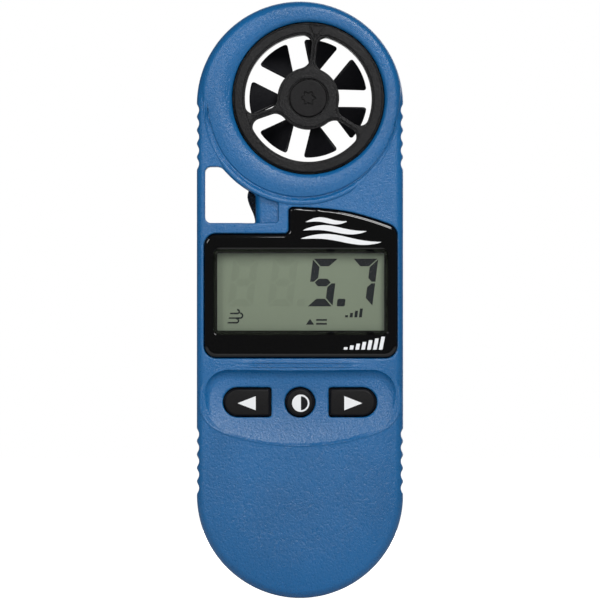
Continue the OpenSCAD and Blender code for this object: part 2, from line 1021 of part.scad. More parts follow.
// The spider's outline: ring, hub and three arms that widen towards the hub.
module spider_outline() {
  difference() {
    circle(r = module_r - 0.4);
    circle(r = passage_r);
  }
  circle(r = hub_r);
  for (a = arm_angles)
    rotate(a) {
      box2(hub_r - 1, -arm_w / 2, passage_r + 0.5, arm_w / 2);
      polygon([[hub_r - 1, -arm_root_w / 2], [hub_r + 2, -arm_w / 2],
        [hub_r + 2, arm_w / 2], [hub_r - 1, arm_root_w / 2]]);
    }
}

// Half of the module's housing, drawn with its open face on the plane y = 0 and its spider
// towards -Y.
module housing_half() {
  turned([0, 0])
    polygon([[passage_r, 0], [passage_r, mouth_chamfer - module_half],
      [passage_r + mouth_chamfer, -module_half], [module_r - rim_chamfer, -module_half],
      [module_r, rim_chamfer - module_half], [module_r, 0]]);
  slab(-arm_front, -arm_back)
    spider_outline();
  bar(hub_r, -arm_front - 0.2, -hub_back);
}

// Sockets for the bearing plug and its jewel in a hub.
module hub_sockets() {
  bar(plug_recess_r, -module_half - 1, -arm_front + 0.6 + eps);
  bar(bearing_r + 0.03, -module_half - 1, 0.05 - plug_back);
  bar(axle_r + 0.3, -module_half - 1, 0);
}

module module_front_frame() {
  color(module_grey)
    translate([duct_x, 0, duct_z])
      difference() {
        housing_half();
        hub_sockets();
        turned([0, 0])
          box2(tongue_in - 0.05, -tongue_h - 0.05, tongue_out + 0.05, 1);
        slab(-module_half - 1, -module_half + 0.3)
          rotate(arm_angles[0])
            polygon([[module_r - 0.7, -1.4], [passage_r + 0.1, 0], [module_r - 0.7, 1.4]]);
      }
}

module module_rear_frame() {
  color(module_grey)
    translate([duct_x, 0, duct_z]) {
      difference() {
        mirror([0, 1, 0])
          housing_half();
        mirror([0, 1, 0])
          hub_sockets();
      }
      turned([0, 0])
        box2(tongue_in, -tongue_h, tongue_out, eps);
    }
}

// One blade: a plate that widens outwards, so that the gaps between blades stay parallel.
module blade() {
  half_step = 180 / blade_count;
  root = rotor_hub_r - 0.4;
  tip = rotor_r + 1;
  half_at_root = (root * tan(half_step) - gap_half / cos(half_step)) / cos(blade_pitch);
  half_at_tip = (tip * tan(half_step) - gap_half / cos(half_step)) / cos(blade_pitch);
  rotate([blade_pitch, 0, 0])
    slab(-blade_t / 2, blade_t / 2)
      polygon([[root, -half_at_root], [tip, -half_at_tip], [tip, half_at_tip],
        [root, half_at_root]]);
}

module rotor() {
  color(black)
    translate([duct_x, 0, duct_z])
      difference() {
        union() {
          bar(rotor_hub_r, -rotor_hub_half, rotor_hub_half);
          intersection() {
            bar(rotor_r, -rotor_hub_half - 1, rotor_hub_half + 1);
            for (i = [0 : blade_count - 1])
              rotate([0, -(i + 0.5) * 360 / blade_count, 0])
                blade();
          }
        }
        bar(axle_r + 0.02, -9, 9);
        bar(magnet_r + 0.03, magnet_y - magnet_half, rotor_hub_half + 1);
      }
}

module rotor_magnet() {
  color("#8d9094")
    translate([duct_x, 0, duct_z])
      difference() {
        bar(magnet_r, magnet_y - magnet_half + 0.02, magnet_y + magnet_half);
        bar(axle_r + 0.02, -9, 9);
      }
}

module axle() {
  color(steel)
    bar(axle_r, -axle_half, axle_half, [duct_x, duct_z]);
}

// A bearing plug, drawn for the front: a round cap with a six-lobed recess, and its barrel.
module bearing_plug() {
  cap_front = -arm_front - 0.1;
  difference() {
    union() {
      bar(cap_r, cap_front, cap_front + cap_t - 0.1);
      bar(bearing_r, cap_front, -plug_back);
    }
    bar(lobe_ring_r, cap_front - 1, cap_front + 0.6);
    for (i = [0 : 5])
      rotate([0, 60 * i, 0])
        bar(lobe_r, cap_front - 1, cap_front + 0.6, [lobe_ring_r, 0]);
    bar(jewel_r + 0.02, -plug_back - jewel_t, 0);
    bar(axle_r + 0.1, -axle_half - 0.3, 0);
  }
}

module front_bearing_plug() {
  color("#2c2a2b")
    translate([duct_x, 0, duct_z])
      bearing_plug();
}

module rear_bearing_plug() {
  color("#2c2a2b")
    translate([duct_x, 0, duct_z])
      mirror([0, 1, 0])
        bearing_plug();
}

// The jewel that the axle's front end turns in: a ring with a running fit on the axle.
module jewel() {
  difference() {
    bar(jewel_r, 0.02 - plug_back - jewel_t, -plug_back);
    bar(axle_r + 0.03, front_y, 0);
  }
}

module front_jewel() {
  color("#8c2f45")
    translate([duct_x, 0, duct_z])
      jewel();
}

module rear_jewel() {
  color("#8c2f45")
    translate([duct_x, 0, duct_z])
      mirror([0, 1, 0])
        jewel();
}

front_casing();
rear_casing();
casing_seal();
display_window();
window_mask();
window_gasket();
lcd_front_glass();
lcd_rear_glass();
lcd_reflector();
lcd_frame();
lcd_contact_strips();
circuit_board();
controller_chip();
timing_crystal();
board_capacitors();
key_contacts();
keypad_mat();
left_key();
power_key();
right_key();
left_key_pill();
power_key_pill();
right_key_pill();
negative_contact();
positive_contact();
coin_cell();
battery_door();
door_seal();
module_front_frame();
module_rear_frame();
rotor();
rotor_magnet();
axle();
front_bearing_plug();
rear_bearing_plug();
front_jewel();
rear_jewel();
coil_bobbin();
pickup_coil();
sensor_port_plug();
casing_screws();
board_screws();
rear_label();
lanyard_pin();
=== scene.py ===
"""Looks of a handheld weather meter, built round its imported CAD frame.

Every visible part is described by a distance field in millimetres, and one mesher turns
each field into a closed mesh with its edges kept. Positions come from the frame.
"""

import math

import bpy
import numpy as np
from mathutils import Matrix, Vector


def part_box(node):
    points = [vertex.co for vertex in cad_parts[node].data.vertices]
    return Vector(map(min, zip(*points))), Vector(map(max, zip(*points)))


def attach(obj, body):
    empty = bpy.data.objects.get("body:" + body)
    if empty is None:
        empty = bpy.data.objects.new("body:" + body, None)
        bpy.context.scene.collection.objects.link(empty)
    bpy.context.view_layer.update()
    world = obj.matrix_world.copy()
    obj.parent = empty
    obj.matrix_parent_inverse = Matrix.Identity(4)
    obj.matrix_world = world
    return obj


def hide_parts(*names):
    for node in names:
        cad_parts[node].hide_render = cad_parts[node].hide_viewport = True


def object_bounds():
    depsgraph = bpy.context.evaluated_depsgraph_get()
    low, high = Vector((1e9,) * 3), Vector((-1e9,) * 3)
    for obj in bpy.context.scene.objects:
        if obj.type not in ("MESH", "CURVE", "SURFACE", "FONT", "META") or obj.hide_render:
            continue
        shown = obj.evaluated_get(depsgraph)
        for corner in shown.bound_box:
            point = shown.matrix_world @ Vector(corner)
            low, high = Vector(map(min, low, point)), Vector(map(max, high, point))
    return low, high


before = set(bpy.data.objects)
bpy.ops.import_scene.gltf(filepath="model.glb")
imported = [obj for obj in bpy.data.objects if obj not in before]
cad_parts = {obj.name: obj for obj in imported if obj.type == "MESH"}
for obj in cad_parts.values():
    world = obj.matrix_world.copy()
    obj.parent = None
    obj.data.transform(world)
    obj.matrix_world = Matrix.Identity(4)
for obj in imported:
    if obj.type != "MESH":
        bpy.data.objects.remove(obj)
cad_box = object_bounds()

METRE = 1000.0  # millimetres in a metre
FAR = 1e3  # farther than anything here, in millimetres


# ---- Places, in millimetres, from the frame ----


def node_box(*nodes):
    """Lowest and highest corner of the named CAD nodes together, in millimetres."""
    boxes = [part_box(n) for n in nodes]
    low = np.array([b[0] for b in boxes]).min(0) * METRE
    high = np.array([b[1] for b in boxes]).max(0) * METRE
    return low, high


casing_low, casing_high = node_box("front_casing", "rear_casing")
END_R = (casing_high[0] - casing_low[0]) / 2
FOOT_Z = END_R
HEAD_Z = casing_high[2] - END_R
CREST = casing_low[1]
BACK = casing_high[1]
window_low, window_high = node_box("display_window")
FACE = window_low[1] - 0.05
module_low, module_high = node_box("module_front_frame")
DUCT_X = (module_low[0] + module_high[0]) / 2
DUCT_Z = (module_low[2] + module_high[2]) / 2
MODULE_R = (module_high[0] - module_low[0]) / 2
MODULE_FRONT = module_low[1]
DUCT_R = MODULE_R + 0.07
rotor_low, rotor_high = node_box("rotor")
ROTOR_R = (rotor_high[2] - rotor_low[2] + rotor_high[0] - rotor_low[0]) / 4
round_low, round_high = node_box("power_key")
KEY_FRONT = node_box("left_key")[0][1]
KEY_Z = (round_low[2] + round_high[2]) / 2
door_low, door_high = node_box("battery_door")
DOOR_R = (door_high[0] - door_low[0]) / 2
BATTERY_Z = (door_low[2] + door_high[2]) / 2
label_low, label_high = node_box("rear_label")
LCD_FRONT = node_box("lcd_front_glass")[0][1]
BOARD_FRONT = node_box("circuit_board")[0][1]
pin_low, pin_high = node_box("lanyard_pin")
plug_low, plug_high = node_box("sensor_port_plug")

# Sizes in millimetres: what shows is scaled from the photo, the rest follows the CAD.

# Shells and screws
WALL = 1.7
FRONT_EDGE, REAR_EDGE, SEAM_EDGE = 1.6, 3.0, 0.22
PARTING = node_box("rear_casing")[0][1]
CROWN, LOW_CROWN, CROWN_REACH = 0.35, 0.5, 9.0
TUNNEL_WALL = 1.2
SCREWS = [(-4.5, 79.5), (14.4, 80.6), (-11.0, 8.5), (11.0, 8.5)]
SCREW_HEAD_R, SCREW_SHANK_R = 1.8, 0.9
SCREW_SEAT, SCREW_SEAT_R = BACK - 2.4, 2.0
PILOT_R, CLEARANCE_R = 0.95, 1.05
POST_R = 2.6
BOARD_SCREWS = [(-16.0, 48.3), (16.0, 48.3), (-13.6, 17.4), (13.6, 17.4)]
BOARD_POST_R = 1.8

# Raised ring round the impeller, and the line below it
RING_X, RING_Z, RING_R = 0.4, 101.1, 19.15
RING_RIM_EDGE, RING_FOOT_EDGE = 1.5, 0.15
BULGE_R = 6.4
BULGE_SLOPE = 0.93
CREASE_R = 0.3
BEAD_X, BEAD_Z, BEAD_R = 0.2, 100.7, 19.8
BEAD_HEIGHT = 0.4

# Side window, the notch beside it, and the port plug between them
PORT = (-19.4, 76.7, -9.1, 88.2)
PORT_CORNER_R, PORT_INNER_R, PORT_ARC_R, PORT_ARC_EDGE = 1.2, 0.4, 20.5, 0.6
NOTCH_RIGHT, NOTCH_TOP, NOTCH_DEPTH = -4.4, 81.5, 1.0
NOTCH_ROLL = 1.9
POCKET_RIGHT = -7.0
PLUG_HEIGHTS = [76.7, 77.3, 78.0, 78.8, 79.6, 80.4, 81.2, 81.9, 82.5, 83.1, 83.6]
PLUG_BULGES = [0.08, 0.12, 0.28, 0.55, 0.92, 1.27, 1.53, 1.66, 1.64, 1.48, 1.2]
RIDGE_HEIGHT, RIDGE_PITCH = 0.16, 0.72

# Display window: its opening, and the step up to its raised right part
VIEW = (-16.9, 54.7, 17.2, 70.5)
VIEW_R, VIEW_FLARE = 0.3, 0.75
WINDOW_TOP, WINDOW_R, WINDOW_EDGE = 74.5, 2.5, 0.75
STEP_X, STEP_R, STEP_FOOT, SHOULDER_R = -2.3, 1.0, 68.0, 0.9
STEP_ARC, STEP_ARC_EDGE = (-4.5, 16.6, 64.0), 1.5
PANE_THICK = 0.5

# Hollow round the keys, its lip, and the two lines above it
SCOOP_DEPTH, SCOOP_HALF, SCOOP_R, SCOOP_Z = 1.6, 10.4, 38.6, 80.1
SCOOP_BOX, SCOOP_CORNER_R, SCOOP_WALL_R = (-20.1, 20.0, 20.25, 46.8), 5.5, 2.2
LIP_HALF, LIP_HEIGHT = 0.4, 0.13
UNDER_LINES, UNDER_LINE_HALF, UNDER_LINE_HEIGHT = (48.15, 47.35), 0.16, 0.22

# Keys
POWER_KEY_R = 3.1
KEY_HALF, KEY_CORNER_R = 3.05, 0.6
KEY_INNER, KEY_OUTER = 5.85, 15.75
KEY_GAP = 0.3
KEY_SWELL = 0.012
KEY_FLANGE, KEY_STEM_R = 0.8, 2.1

# Grip grooves
GRIP_STARTS = (88.8, 22.5)
GRIP_PITCH, GRIP_COUNT, GRIP_R, GRIP_DEPTH = 2.75, 5, 1.45, 0.45

# Impeller module
PASSAGE_R = 13.0
ARM_ANGLES = [83.5, 199.0, 328.0]
ARM_HALF, ARM_ROOT_R, ARM_RIM_R = 0.57, 1.7, 2.1
ARM_FRONT, ARM_DEPTH = MODULE_FRONT + 0.12, 2.48
HUB_R = 6.3
TONGUE_INNER_R, TONGUE_OUTER_R = 14.0, 14.6
REAR_OPENING_R = 14.6
AXLE_HOLE_R = 0.52
PLUG_FRONT = MODULE_FRONT + 0.3
PLUG_SEAT_R, PLUG_CAP_R, PLUG_CAP_THICK, PLUG_STEM_R = 4.15, 3.85, 0.7, 2.0
STAR_R, STAR_WAVE, STAR_LOBES = 1.14, 0.21, 6
BLADES, BLADE_PITCH, BLADE_GAP, BLADE_HALF, CAMBER = 7, 38, 1.85, 0.3, 0.35
ROTOR_HUB_R, ROTOR_HUB_HALF = 5.2, 2.6

# Back: battery well, door and lanyard eye
CELL_R, CELL_FRONT = 10.4, 3.0
WELL_R, WELL_FRONT = 12.0, 2.2
DOOR_RIM_R, DOOR_RIM_DEPTH = 15.3, 3.1
DOOR_SEAT_R, DOOR_SEAT_DEPTH = 12.2, 2.8
THREAD_LEAD = 12.0
SLOT_HALF_LENGTH, SLOT_HALF_WIDTH = 7.5, 0.9
EYE = (-3.5, 3.6, 3.5, 8.2)
EYE_DEPTH = 4.2


# ---- Distance fields: flat arrays x, y, z in millimetres, below zero inside ----


def circle(x, z, cx, cz, r):
    return np.hypot(x - cx, z - cz) - r


def between(v, v0, v1):
    return np.abs(v - (v0 + v1) / 2) - (v1 - v0) / 2


def box2(x, z, x0, z0, x1, z1, r=0.0):
    """A rectangle between two corners with one corner radius."""
    dx = between(x, x0, x1) + r
    dz = between(z, z0, z1) + r
    outside = np.hypot(np.maximum(dx, 0), np.maximum(dz, 0))
    return outside + np.minimum(np.maximum(dx, dz), 0) - r


def convex(x, z, points):
    """A convex outline given by its corners, counter-clockwise."""
    d = np.full(np.shape(x), -FAR)
    for (x0, z0), (x1, z1) in zip(points, points[1:] + points[:1]):
        length = math.hypot(x1 - x0, z1 - z0)
        d = np.maximum(d, ((z1 - z0) * (x - x0) - (x1 - x0) * (z - z0)) / length)
    return d


def capsule(x, z, x0, z0, x1, z1, r0, r1):
    """A stroke between two points, its half-width running from r0 to r1."""
    dx, dz = x1 - x0, z1 - z0
    t = np.clip(((x - x0) * dx + (z - z0) * dz) / (dx * dx + dz * dz), 0, 1)
    return np.hypot(x - x0 - t * dx, z - z0 - t * dz) - (r0 + t * (r1 - r0))


def both(a, b, r=0.0):
    """Inside a and inside b, with the edge between them rounded to the radius r."""
    if np.ndim(r) == 0 and r == 0:
        return np.maximum(a, b)
    corner = np.hypot(np.maximum(a + r, 0), np.maximum(b + r, 0))
    return np.minimum(np.maximum(a, b), -r) + corner


def any_of(*parts):
    """Inside any of the parts, with no rounding between them."""
    d = parts[0]
    for part in parts[1:]:
        d = np.minimum(d, part)
    return d


def join(a, b, r=0.0):
    """Inside a or inside b, with the corner between them filled to the radius r."""
    return -both(-a, -b, r)


def cut(a, b, r=0.0):
    """Inside a but not b, with the edge between them rounded to the radius r."""
    return both(a, -b, r)


def slab(d, y, y0, y1, r=0.0):
    """An outline filled from the depth y0 to y1, with its edges rounded."""
    return both(d, between(y, y0, y1), r)


def stadium(x, z):
    """The casing's outline seen from the front."""
    return np.hypot(x, z - np.clip(z, FOOT_Z, HEAD_Z)) - END_R


def ramp(v, start, end):
    """Runs smoothly from 0 at start to 1 at end."""
    t = np.clip((v - start) / (end - start), 0, 1)
    return t * t * (3 - 2 * t)


def places(x, z, spots, r):
    """Circles of one radius round several spots."""
    return any_of(*[circle(x, z, cx, cz, r) for cx, cz in spots])


def turned(u, w, angle):
    """Offsets along and across a direction given in radians."""
    along = u * np.cos(angle) + w * np.sin(angle)
    across = -u * np.sin(angle) + w * np.cos(angle)
    return along, across


# ---- The mesher: dual contouring on a rectilinear grid ----

BLOCK = 8  # grid lines along a block
CHUNK = 96  # blocks worked out at once
ROOT_STEPS = 3  # tries at the surface point on a grid edge
ROOT_MARGIN = 0.02  # how near an edge's end a try may come
PROBE = 0.004  # half the distance over which a slope is measured
PULL = 0.02  # how strongly a vertex is drawn to the middle of its edge points
FLAT = 0.97  # mean length of the normals round a cell without an edge in it
SNAP = 0.1  # farthest that a vertex of such a cell is moved onto the surface
FACE_BUDGET = 190000  # triangles that one piece may have
SHARP, PRINT_SHARP = 32.0, 25.0  # angles in degrees from which an edge is drawn sharp


def spaced(*stretches):
    """Grid lines over stretches (end, step), after a first start value."""
    lines = [stretches[0]]
    for end, step in stretches[1:]:
        count = max(1, round((end - lines[-1]) / step))
        lines += list(np.linspace(lines[-1], end, count + 1)[1:])
    while len(lines) % BLOCK:
        lines.append(2 * lines[-1] - lines[-2])
    return np.array(lines)


def grid_values(field, axes):
    """The field at every grid corner; blocks far from the surface take their centre's value."""
    blocks = [a.reshape(-1, BLOCK) for a in axes]
    centres = [b.mean(1) for b in blocks]
    reach = [(b[:, -1] - b[:, 0]) / 2 + (b[:, 1] - b[:, 0]) for b in blocks]
    counts = [len(c) for c in centres]
    cx, cy, cz = np.meshgrid(*centres, indexing="ij")
    rx, ry, rz = np.meshgrid(*reach, indexing="ij")
    middle = field(cx.ravel(), cy.ravel(), cz.ravel()).reshape(counts)
    values = np.empty((*counts, BLOCK, BLOCK, BLOCK))
    values[:] = middle[..., None, None, None]
    near = np.argwhere(np.abs(middle) < 1.25 * np.sqrt(rx**2 + ry**2 + rz**2))
    for start in range(0, len(near), CHUNK):
        i, j, k = near[start : start + CHUNK].T
        shape = (len(i), BLOCK, BLOCK, BLOCK)
        x = np.broadcast_to(blocks[0][i][:, :, None, None], shape).ravel()
        y = np.broadcast_to(blocks[1][j][:, None, :, None], shape).ravel()
        z = np.broadcast_to(blocks[2][k][:, None, None, :], shape).ravel()
        values[i, j, k] = field(x, y, z).reshape(shape)
    return values.transpose(0, 3, 1, 4, 2, 5).reshape([c * BLOCK for c in counts])


def in_chunks(field, p):
    size = BLOCK**3 * CHUNK
    parts = [field(*p[s : s + size].T) for s in range(0, len(p), size)]
    return np.concatenate(parts)


def edge_crossings(field, values, axes, a):
    """Surface points on the grid edges along the axis a, and the four cells round each."""
    n = values.shape
    stride = np.array([n[1] * n[2], n[2], 1])
    low = [slice(None)] * 3
    high = [slice(None)] * 3
    low[a], high[a] = slice(0, -1), slice(1, None)
    v0, v1 = values[tuple(low)], values[tuple(high)]
    index = np.argwhere((v0 < 0) != (v1 < 0))
    g0, g1 = v0[tuple(index.T)], v1[tuple(index.T)]
    inward = g0 >= 0
    p = np.stack([axes[c][index[:, c]] for c in range(3)], 1)
    step = np.diff(axes[a])[index[:, a]]
    start = p[:, a].copy()
    t0, t1 = np.zeros(len(p)), np.ones(len(p))
    for _ in range(ROOT_STEPS):
        t = t0 + (t1 - t0) * np.clip(g0 / (g0 - g1), ROOT_MARGIN, 1 - ROOT_MARGIN)
        p[:, a] = start + t * step
        g = in_chunks(field, p)
        same = (g < 0) == (g0 < 0)
        t0, g0 = np.where(same, t, t0), np.where(same, g, g0)
        t1, g1 = np.where(same, t1, t), np.where(same, g1, g)
    b, c = (a + 1) % 3, (a + 2) % 3
    base = index @ stride
    ring = np.stack([base - stride[b] - stride[c], base - stride[c], base, base - stride[b]], 1)
    ring[inward] = ring[inward][:, ::-1]
    return p, ring


def slopes(field, points):
    """Unit gradient of the field at each point."""
    gradient = np.empty_like(points)
    for c in range(3):
        shift = np.zeros(3)
        shift[c] = PROBE
        gradient[:, c] = in_chunks(field, points + shift) - in_chunks(field, points - shift)
    length = np.linalg.norm(gradient, axis=1, keepdims=True)
    return gradient / np.maximum(length, 1e-12)


def contour(field, axes):
    """Vertices and quads of the field's zero surface, one vertex to each cell that it crosses."""
    values = grid_values(field, axes)
    crossings = [edge_crossings(field, values, axes, a) for a in range(3)]
    points = np.concatenate([p for p, _ in crossings])
    rings = np.concatenate([ring for _, ring in crossings])
    gradient = slopes(field, points)
    cell, quads = np.unique(rings, return_inverse=True)
    quads = quads.reshape(rings.shape)
    total = len(cell)
    where = quads.ravel()
    owner = np.repeat(np.arange(len(points)), 4)
    count = np.bincount(where, minlength=total).astype(float)

    def mean(v):
        return np.bincount(where, v[owner], total) / count

    centre = np.stack([mean(points[:, c]) for c in range(3)], 1)
    normal = np.stack([mean(gradient[:, c]) for c in range(3)], 1)
    plane = (gradient * points).sum(1)
    matrix = np.empty((total, 3, 3))
    right = np.empty((total, 3))
    for r in range(3):
        right[:, r] = mean(gradient[:, r] * plane)
        for c in range(r, 3):
            matrix[:, r, c] = mean(gradient[:, r] * gradient[:, c])
            matrix[:, c, r] = matrix[:, r, c]
    right -= np.einsum("nij,nj->ni", matrix, centre)
    matrix[:, [0, 1, 2], [0, 1, 2]] += PULL
    vertex = centre + np.linalg.solve(matrix, right[:, :, None])[:, :, 0]
    position = np.stack(np.unravel_index(cell, values.shape), 1)
    for c, line in enumerate(axes):
        vertex[:, c] = np.clip(vertex[:, c], line[position[:, c]], line[position[:, c] + 1])
    smooth = np.linalg.norm(normal, axis=1) > FLAT
    value = in_chunks(field, vertex)
    vertex[smooth] -= normal[smooth] * np.clip(value[smooth], -SNAP, SNAP)[:, None]
    return vertex, quads


def link(obj):
    bpy.context.scene.collection.objects.link(obj)
    return obj


def build_mesh(name, vertex, quads, sharp):
    """A mesh object from vertices in millimetres, thinned out where it has too many faces."""
    vertex = np.clip(vertex, *(np.array(cad_box) * METRE))
    mesh = bpy.data.meshes.new(name)
    mesh.vertices.add(len(vertex))
    mesh.vertices.foreach_set("co", (vertex / METRE).astype(np.float32).ravel())
    mesh.loops.add(quads.size)
    mesh.loops.foreach_set("vertex_index", quads.astype(np.int32).ravel())
    mesh.polygons.add(len(quads))
    mesh.polygons.foreach_set("loop_start", np.arange(0, quads.size, 4, dtype=np.int32))
    mesh.update(calc_edges=True)
    mesh.validate()
    obj = link(bpy.data.objects.new(name, mesh))
    if 2 * len(quads) > FACE_BUDGET:
        thin = obj.modifiers.new("thin", "DECIMATE")
        thin.ratio = FACE_BUDGET / (2 * len(quads))
        graph = bpy.context.evaluated_depsgraph_get()
        thinned = bpy.data.meshes.new_from_object(obj.evaluated_get(graph))
        obj.modifiers.clear()
        obj.data = thinned
        bpy.data.meshes.remove(mesh)
        thinned.name = name
        mesh = thinned
    mesh.shade_smooth()
    mesh.set_sharp_from_angle(angle=math.radians(sharp))
    return obj


def solid(name, field, axes, body, material, replaces=(), sharp=SHARP):
    """Meshes a field into a piece of the object with the given material, and hides the CAD nodes that it
    replaces.
    """
    vertex, quads = contour(field, axes)
    obj = build_mesh(name, vertex, quads, sharp)
    obj.data.materials.append(materials[material])
    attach(obj, body)
    if replaces:
        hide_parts(*replaces)


def even(low, high, step, margin=None):
    """Even grid lines round a box; step and margin are one number, or one for each axis."""
    steps = np.broadcast_to(step, 3)
    margins = 2 * steps if margin is None else np.broadcast_to(margin, 3)
    return [spaced(lo - m, (hi + m, s)) for lo, hi, s, m in zip(low, high, steps, margins)]


# ---- Casing ----


def crown(x, z):
    """How far the front face has dropped towards the casing's edge, more so below the window."""
    drop = CROWN + LOW_CROWN * ramp(z, 50.0, 43.0)
    return drop * np.clip((stadium(x, z) + CROWN_REACH) / CROWN_REACH, 0, 1.0) ** 2


def casing_form(x, y, z, inset):
    """The casing's outer form, or its cavity when inset by the wall."""
    front = y < 0
    r = np.where(front, max(FRONT_EDGE - inset, 0.5), max(REAR_EDGE - inset, 0.5))
    depth = np.where(front, FACE + inset + crown(x, z) - y, y - (BACK - inset))
    return both(stadium(x, z) + inset, depth, r)


def port2(x, z, grow=0.0):
    """Outline of the side window through the casing."""
    x0, z0, x1, z1 = PORT
    inner_corner = (x > (x0 + x1) / 2) & (z < (z0 + z1) / 2)
    corner_r = np.where(inner_corner, PORT_INNER_R, PORT_CORNER_R)
    area = box2(x, z, x0 - grow, z0 - grow, x1 + grow, z1 + grow, corner_r)
    return both(area, (PORT_ARC_R - grow) - np.hypot(x, z - HEAD_Z), PORT_ARC_EDGE)


def window2(x, z, grow=0.0):
    """Outline of the display window, with its raised right part."""
    left, right = window_low[0] - grow, window_high[0] + grow
    bottom, top = window_low[2] - grow, window_high[2] + grow
    arc_x, arc_z, arc_r = STEP_ARC
    main = box2(x, z, left, bottom, right, WINDOW_TOP + grow, WINDOW_R + grow)
    raised = box2(x, z, STEP_X - grow, STEP_FOOT, right, top, STEP_R + grow)
    raised = both(raised, circle(x, z, arc_x, arc_z, arc_r + grow), STEP_ARC_EDGE + grow)
    shoulder = join(main, raised, max(SHOULDER_R - grow, 0.3))
    return np.where(x > 8.0, np.minimum(main, raised), shoulder)


def key2(x, z, side, grow=0.0):
    """Outline of a key's opening: side is -1, 0 or 1 from the left to the right."""
    if side == 0:
        return circle(x, z, 0.0, KEY_Z, POWER_KEY_R + grow)
    half = KEY_HALF + grow
    low, high = KEY_Z - half, KEY_Z + half
    round_x = KEY_OUTER + grow - half
    u = x * side
    square = box2(u, z, KEY_INNER - grow, low, round_x, high, KEY_CORNER_R)
    bar = box2(u, z, 8.0, low, round_x, high)
    return any_of(square, circle(u, z, round_x, KEY_Z, half), bar)


def grips(x, z):
    """The grip grooves along both sides."""
    grooves = []
    for z0 in GRIP_STARTS:
        nearest = z0 + GRIP_PITCH * np.clip(np.round((z - z0) / GRIP_PITCH), 0, GRIP_COUNT - 1)
        off = np.abs(x) - (END_R - GRIP_DEPTH + GRIP_R)
        grooves.append(np.hypot(off, z - nearest) - GRIP_R)
    return any_of(*grooves)


def scoop_side(x, z):
    """Outline of the scoop's sides and top, wider than the sweep at its foot."""
    side = box2(x, z, *SCOOP_BOX, SCOOP_CORNER_R)
    return both(side, circle(x, z, 0.0, SCOOP_Z, SCOOP_R + SCOOP_HALF + 1.2), 5.0)


def scoop(x, y, z):
    """The hollow round the keys: a shallow ring-shaped sweep with a soft wall round it."""
    tube = (SCOOP_HALF**2 + SCOOP_DEPTH**2) / (2 * SCOOP_DEPTH)
    sweep = np.hypot(np.hypot(x, z - SCOOP_Z) - SCOOP_R, y - (FACE - tube + SCOOP_DEPTH)) - tube
    return both(sweep, scoop_side(x, z), SCOOP_WALL_R)


def scoop_lip(x, y, z, face):
    """The thin raised line round the scoop's sides and foot."""
    foot = np.abs(np.hypot(x, z - SCOOP_Z) - SCOOP_R) - SCOOP_HALF
    off = both(foot, scoop_side(x, z), SCOOP_WALL_R) - 0.1
    top = face - LIP_HEIGHT * ramp(z, 45.0, 41.5) * (1 - (off / 0.34) ** 2)
    return both(np.abs(off) - LIP_HALF, np.maximum(top - y, y - face - 1.0))


def duct(x, z):
    """The bore that holds the impeller module."""
    return circle(x, z, DUCT_X, DUCT_Z, DUCT_R)


def below_head(z):
    """Runs from 0 on the head's upper half to 1 below the impeller's axis."""
    return ramp(RING_Z - z, -6.0, 8.0)


def head_ring(x, y, z):
    """The raised ring round the impeller's bore, which reaches the casing's rim at the top."""
    low_side = below_head(z)
    foot = low_side * circle(x, z, RING_X, RING_Z, RING_R) + (1 - low_side) * (stadium(x, z) + 0.02)
    off = (-foot - duct(x, z)) / 2
    top = CREST + off**2 / (2 * BULGE_R)
    edge = RING_RIM_EDGE + (RING_FOOT_EDGE - RING_RIM_EDGE) * low_side
    return both(foot, (top - y) * BULGE_SLOPE, edge)


def bead(x, y, z):
    """The thin raised line that follows the ring below its foot."""
    angle = np.degrees(np.arctan2(z - BEAD_Z, x - BEAD_X))
    angle = np.where(angle > 90, angle - 360, angle)
    weight = ramp(angle, -152, -138) * ramp(angle, -50.5, -62)
    off = circle(x, z, BEAD_X, BEAD_Z, BEAD_R)
    half = 0.12 + 0.40 * weight
    top = FACE - BEAD_HEIGHT * weight * (1 - (off / half) ** 2 * 0.6) + 0.03
    return both(np.abs(off) - half, top - y, 0.1)


def clear_of_bead(x, z):
    """Outside the ring and its bead, by a small margin."""
    return BEAD_R + 0.55 - np.hypot(x - BEAD_X, z - BEAD_Z)


def front_face_details(x, y, z, d):
    """Raised and sunk lines of the front face."""
    d = both(join(d, head_ring(x, y, z), 0.1), stadium(x, z))
    off = circle(x, z, RING_X, RING_Z, RING_R + 0.12)
    crease = np.hypot(off, y - FACE + 0.02) - CREASE_R * below_head(z)
    d = cut(d, crease, 0.05)
    d = join(d, bead(x, y, z), 0.1)
    for at in UNDER_LINES:
        fade = 1 - ramp(np.abs(x), 8.0, 13.5)
        top = FACE - UNDER_LINE_HEIGHT * fade + 0.02
        line = both(np.abs(z - at) - UNDER_LINE_HALF, np.abs(x) - 13.0)
        d = join(d, both(line, top - y, 0.1), 0.12)
    return d


def plug_pocket(x, z):
    """The room beside the side window that holds the port plug's stem."""
    return box2(x, z, PORT[2] - 1, PORT[1] + 0.5, POCKET_RIGHT, NOTCH_TOP - 0.3)


def filled(x, z):
    """What stays solid in both shells: walls round the openings, and the screw posts."""
    return any_of(
        duct(x, z) - TUNNEL_WALL, port2(x, z, TUNNEL_WALL), plug_pocket(x, z) - TUNNEL_WALL,
        places(x, z, SCREWS, POST_R),
    )


def front_cavity(x, y, z):
    """The front shell's hollow, shallower behind the window, keys and notch and at the board's posts."""
    keys_block = box2(x, z, -30, 31.1, 30, window_low[2])
    notch_block = box2(x, z, PORT[2], PORT[1] - 1, NOTCH_RIGHT + 1, NOTCH_TOP + 1)
    shallow = any_of(
        both(window2(x, z, 0.1) - 0.7, y - (LCD_FRONT - 0.1)),
        both(keys_block, y - (FACE + 2.8)),
        both(notch_block, y - (FACE + WALL + 0.8)),
        both(places(x, z, BOARD_SCREWS, BOARD_POST_R), y - BOARD_FRONT),
    )
    return cut(casing_form(x, y, z, WALL), np.minimum(filled(x, z), shallow))


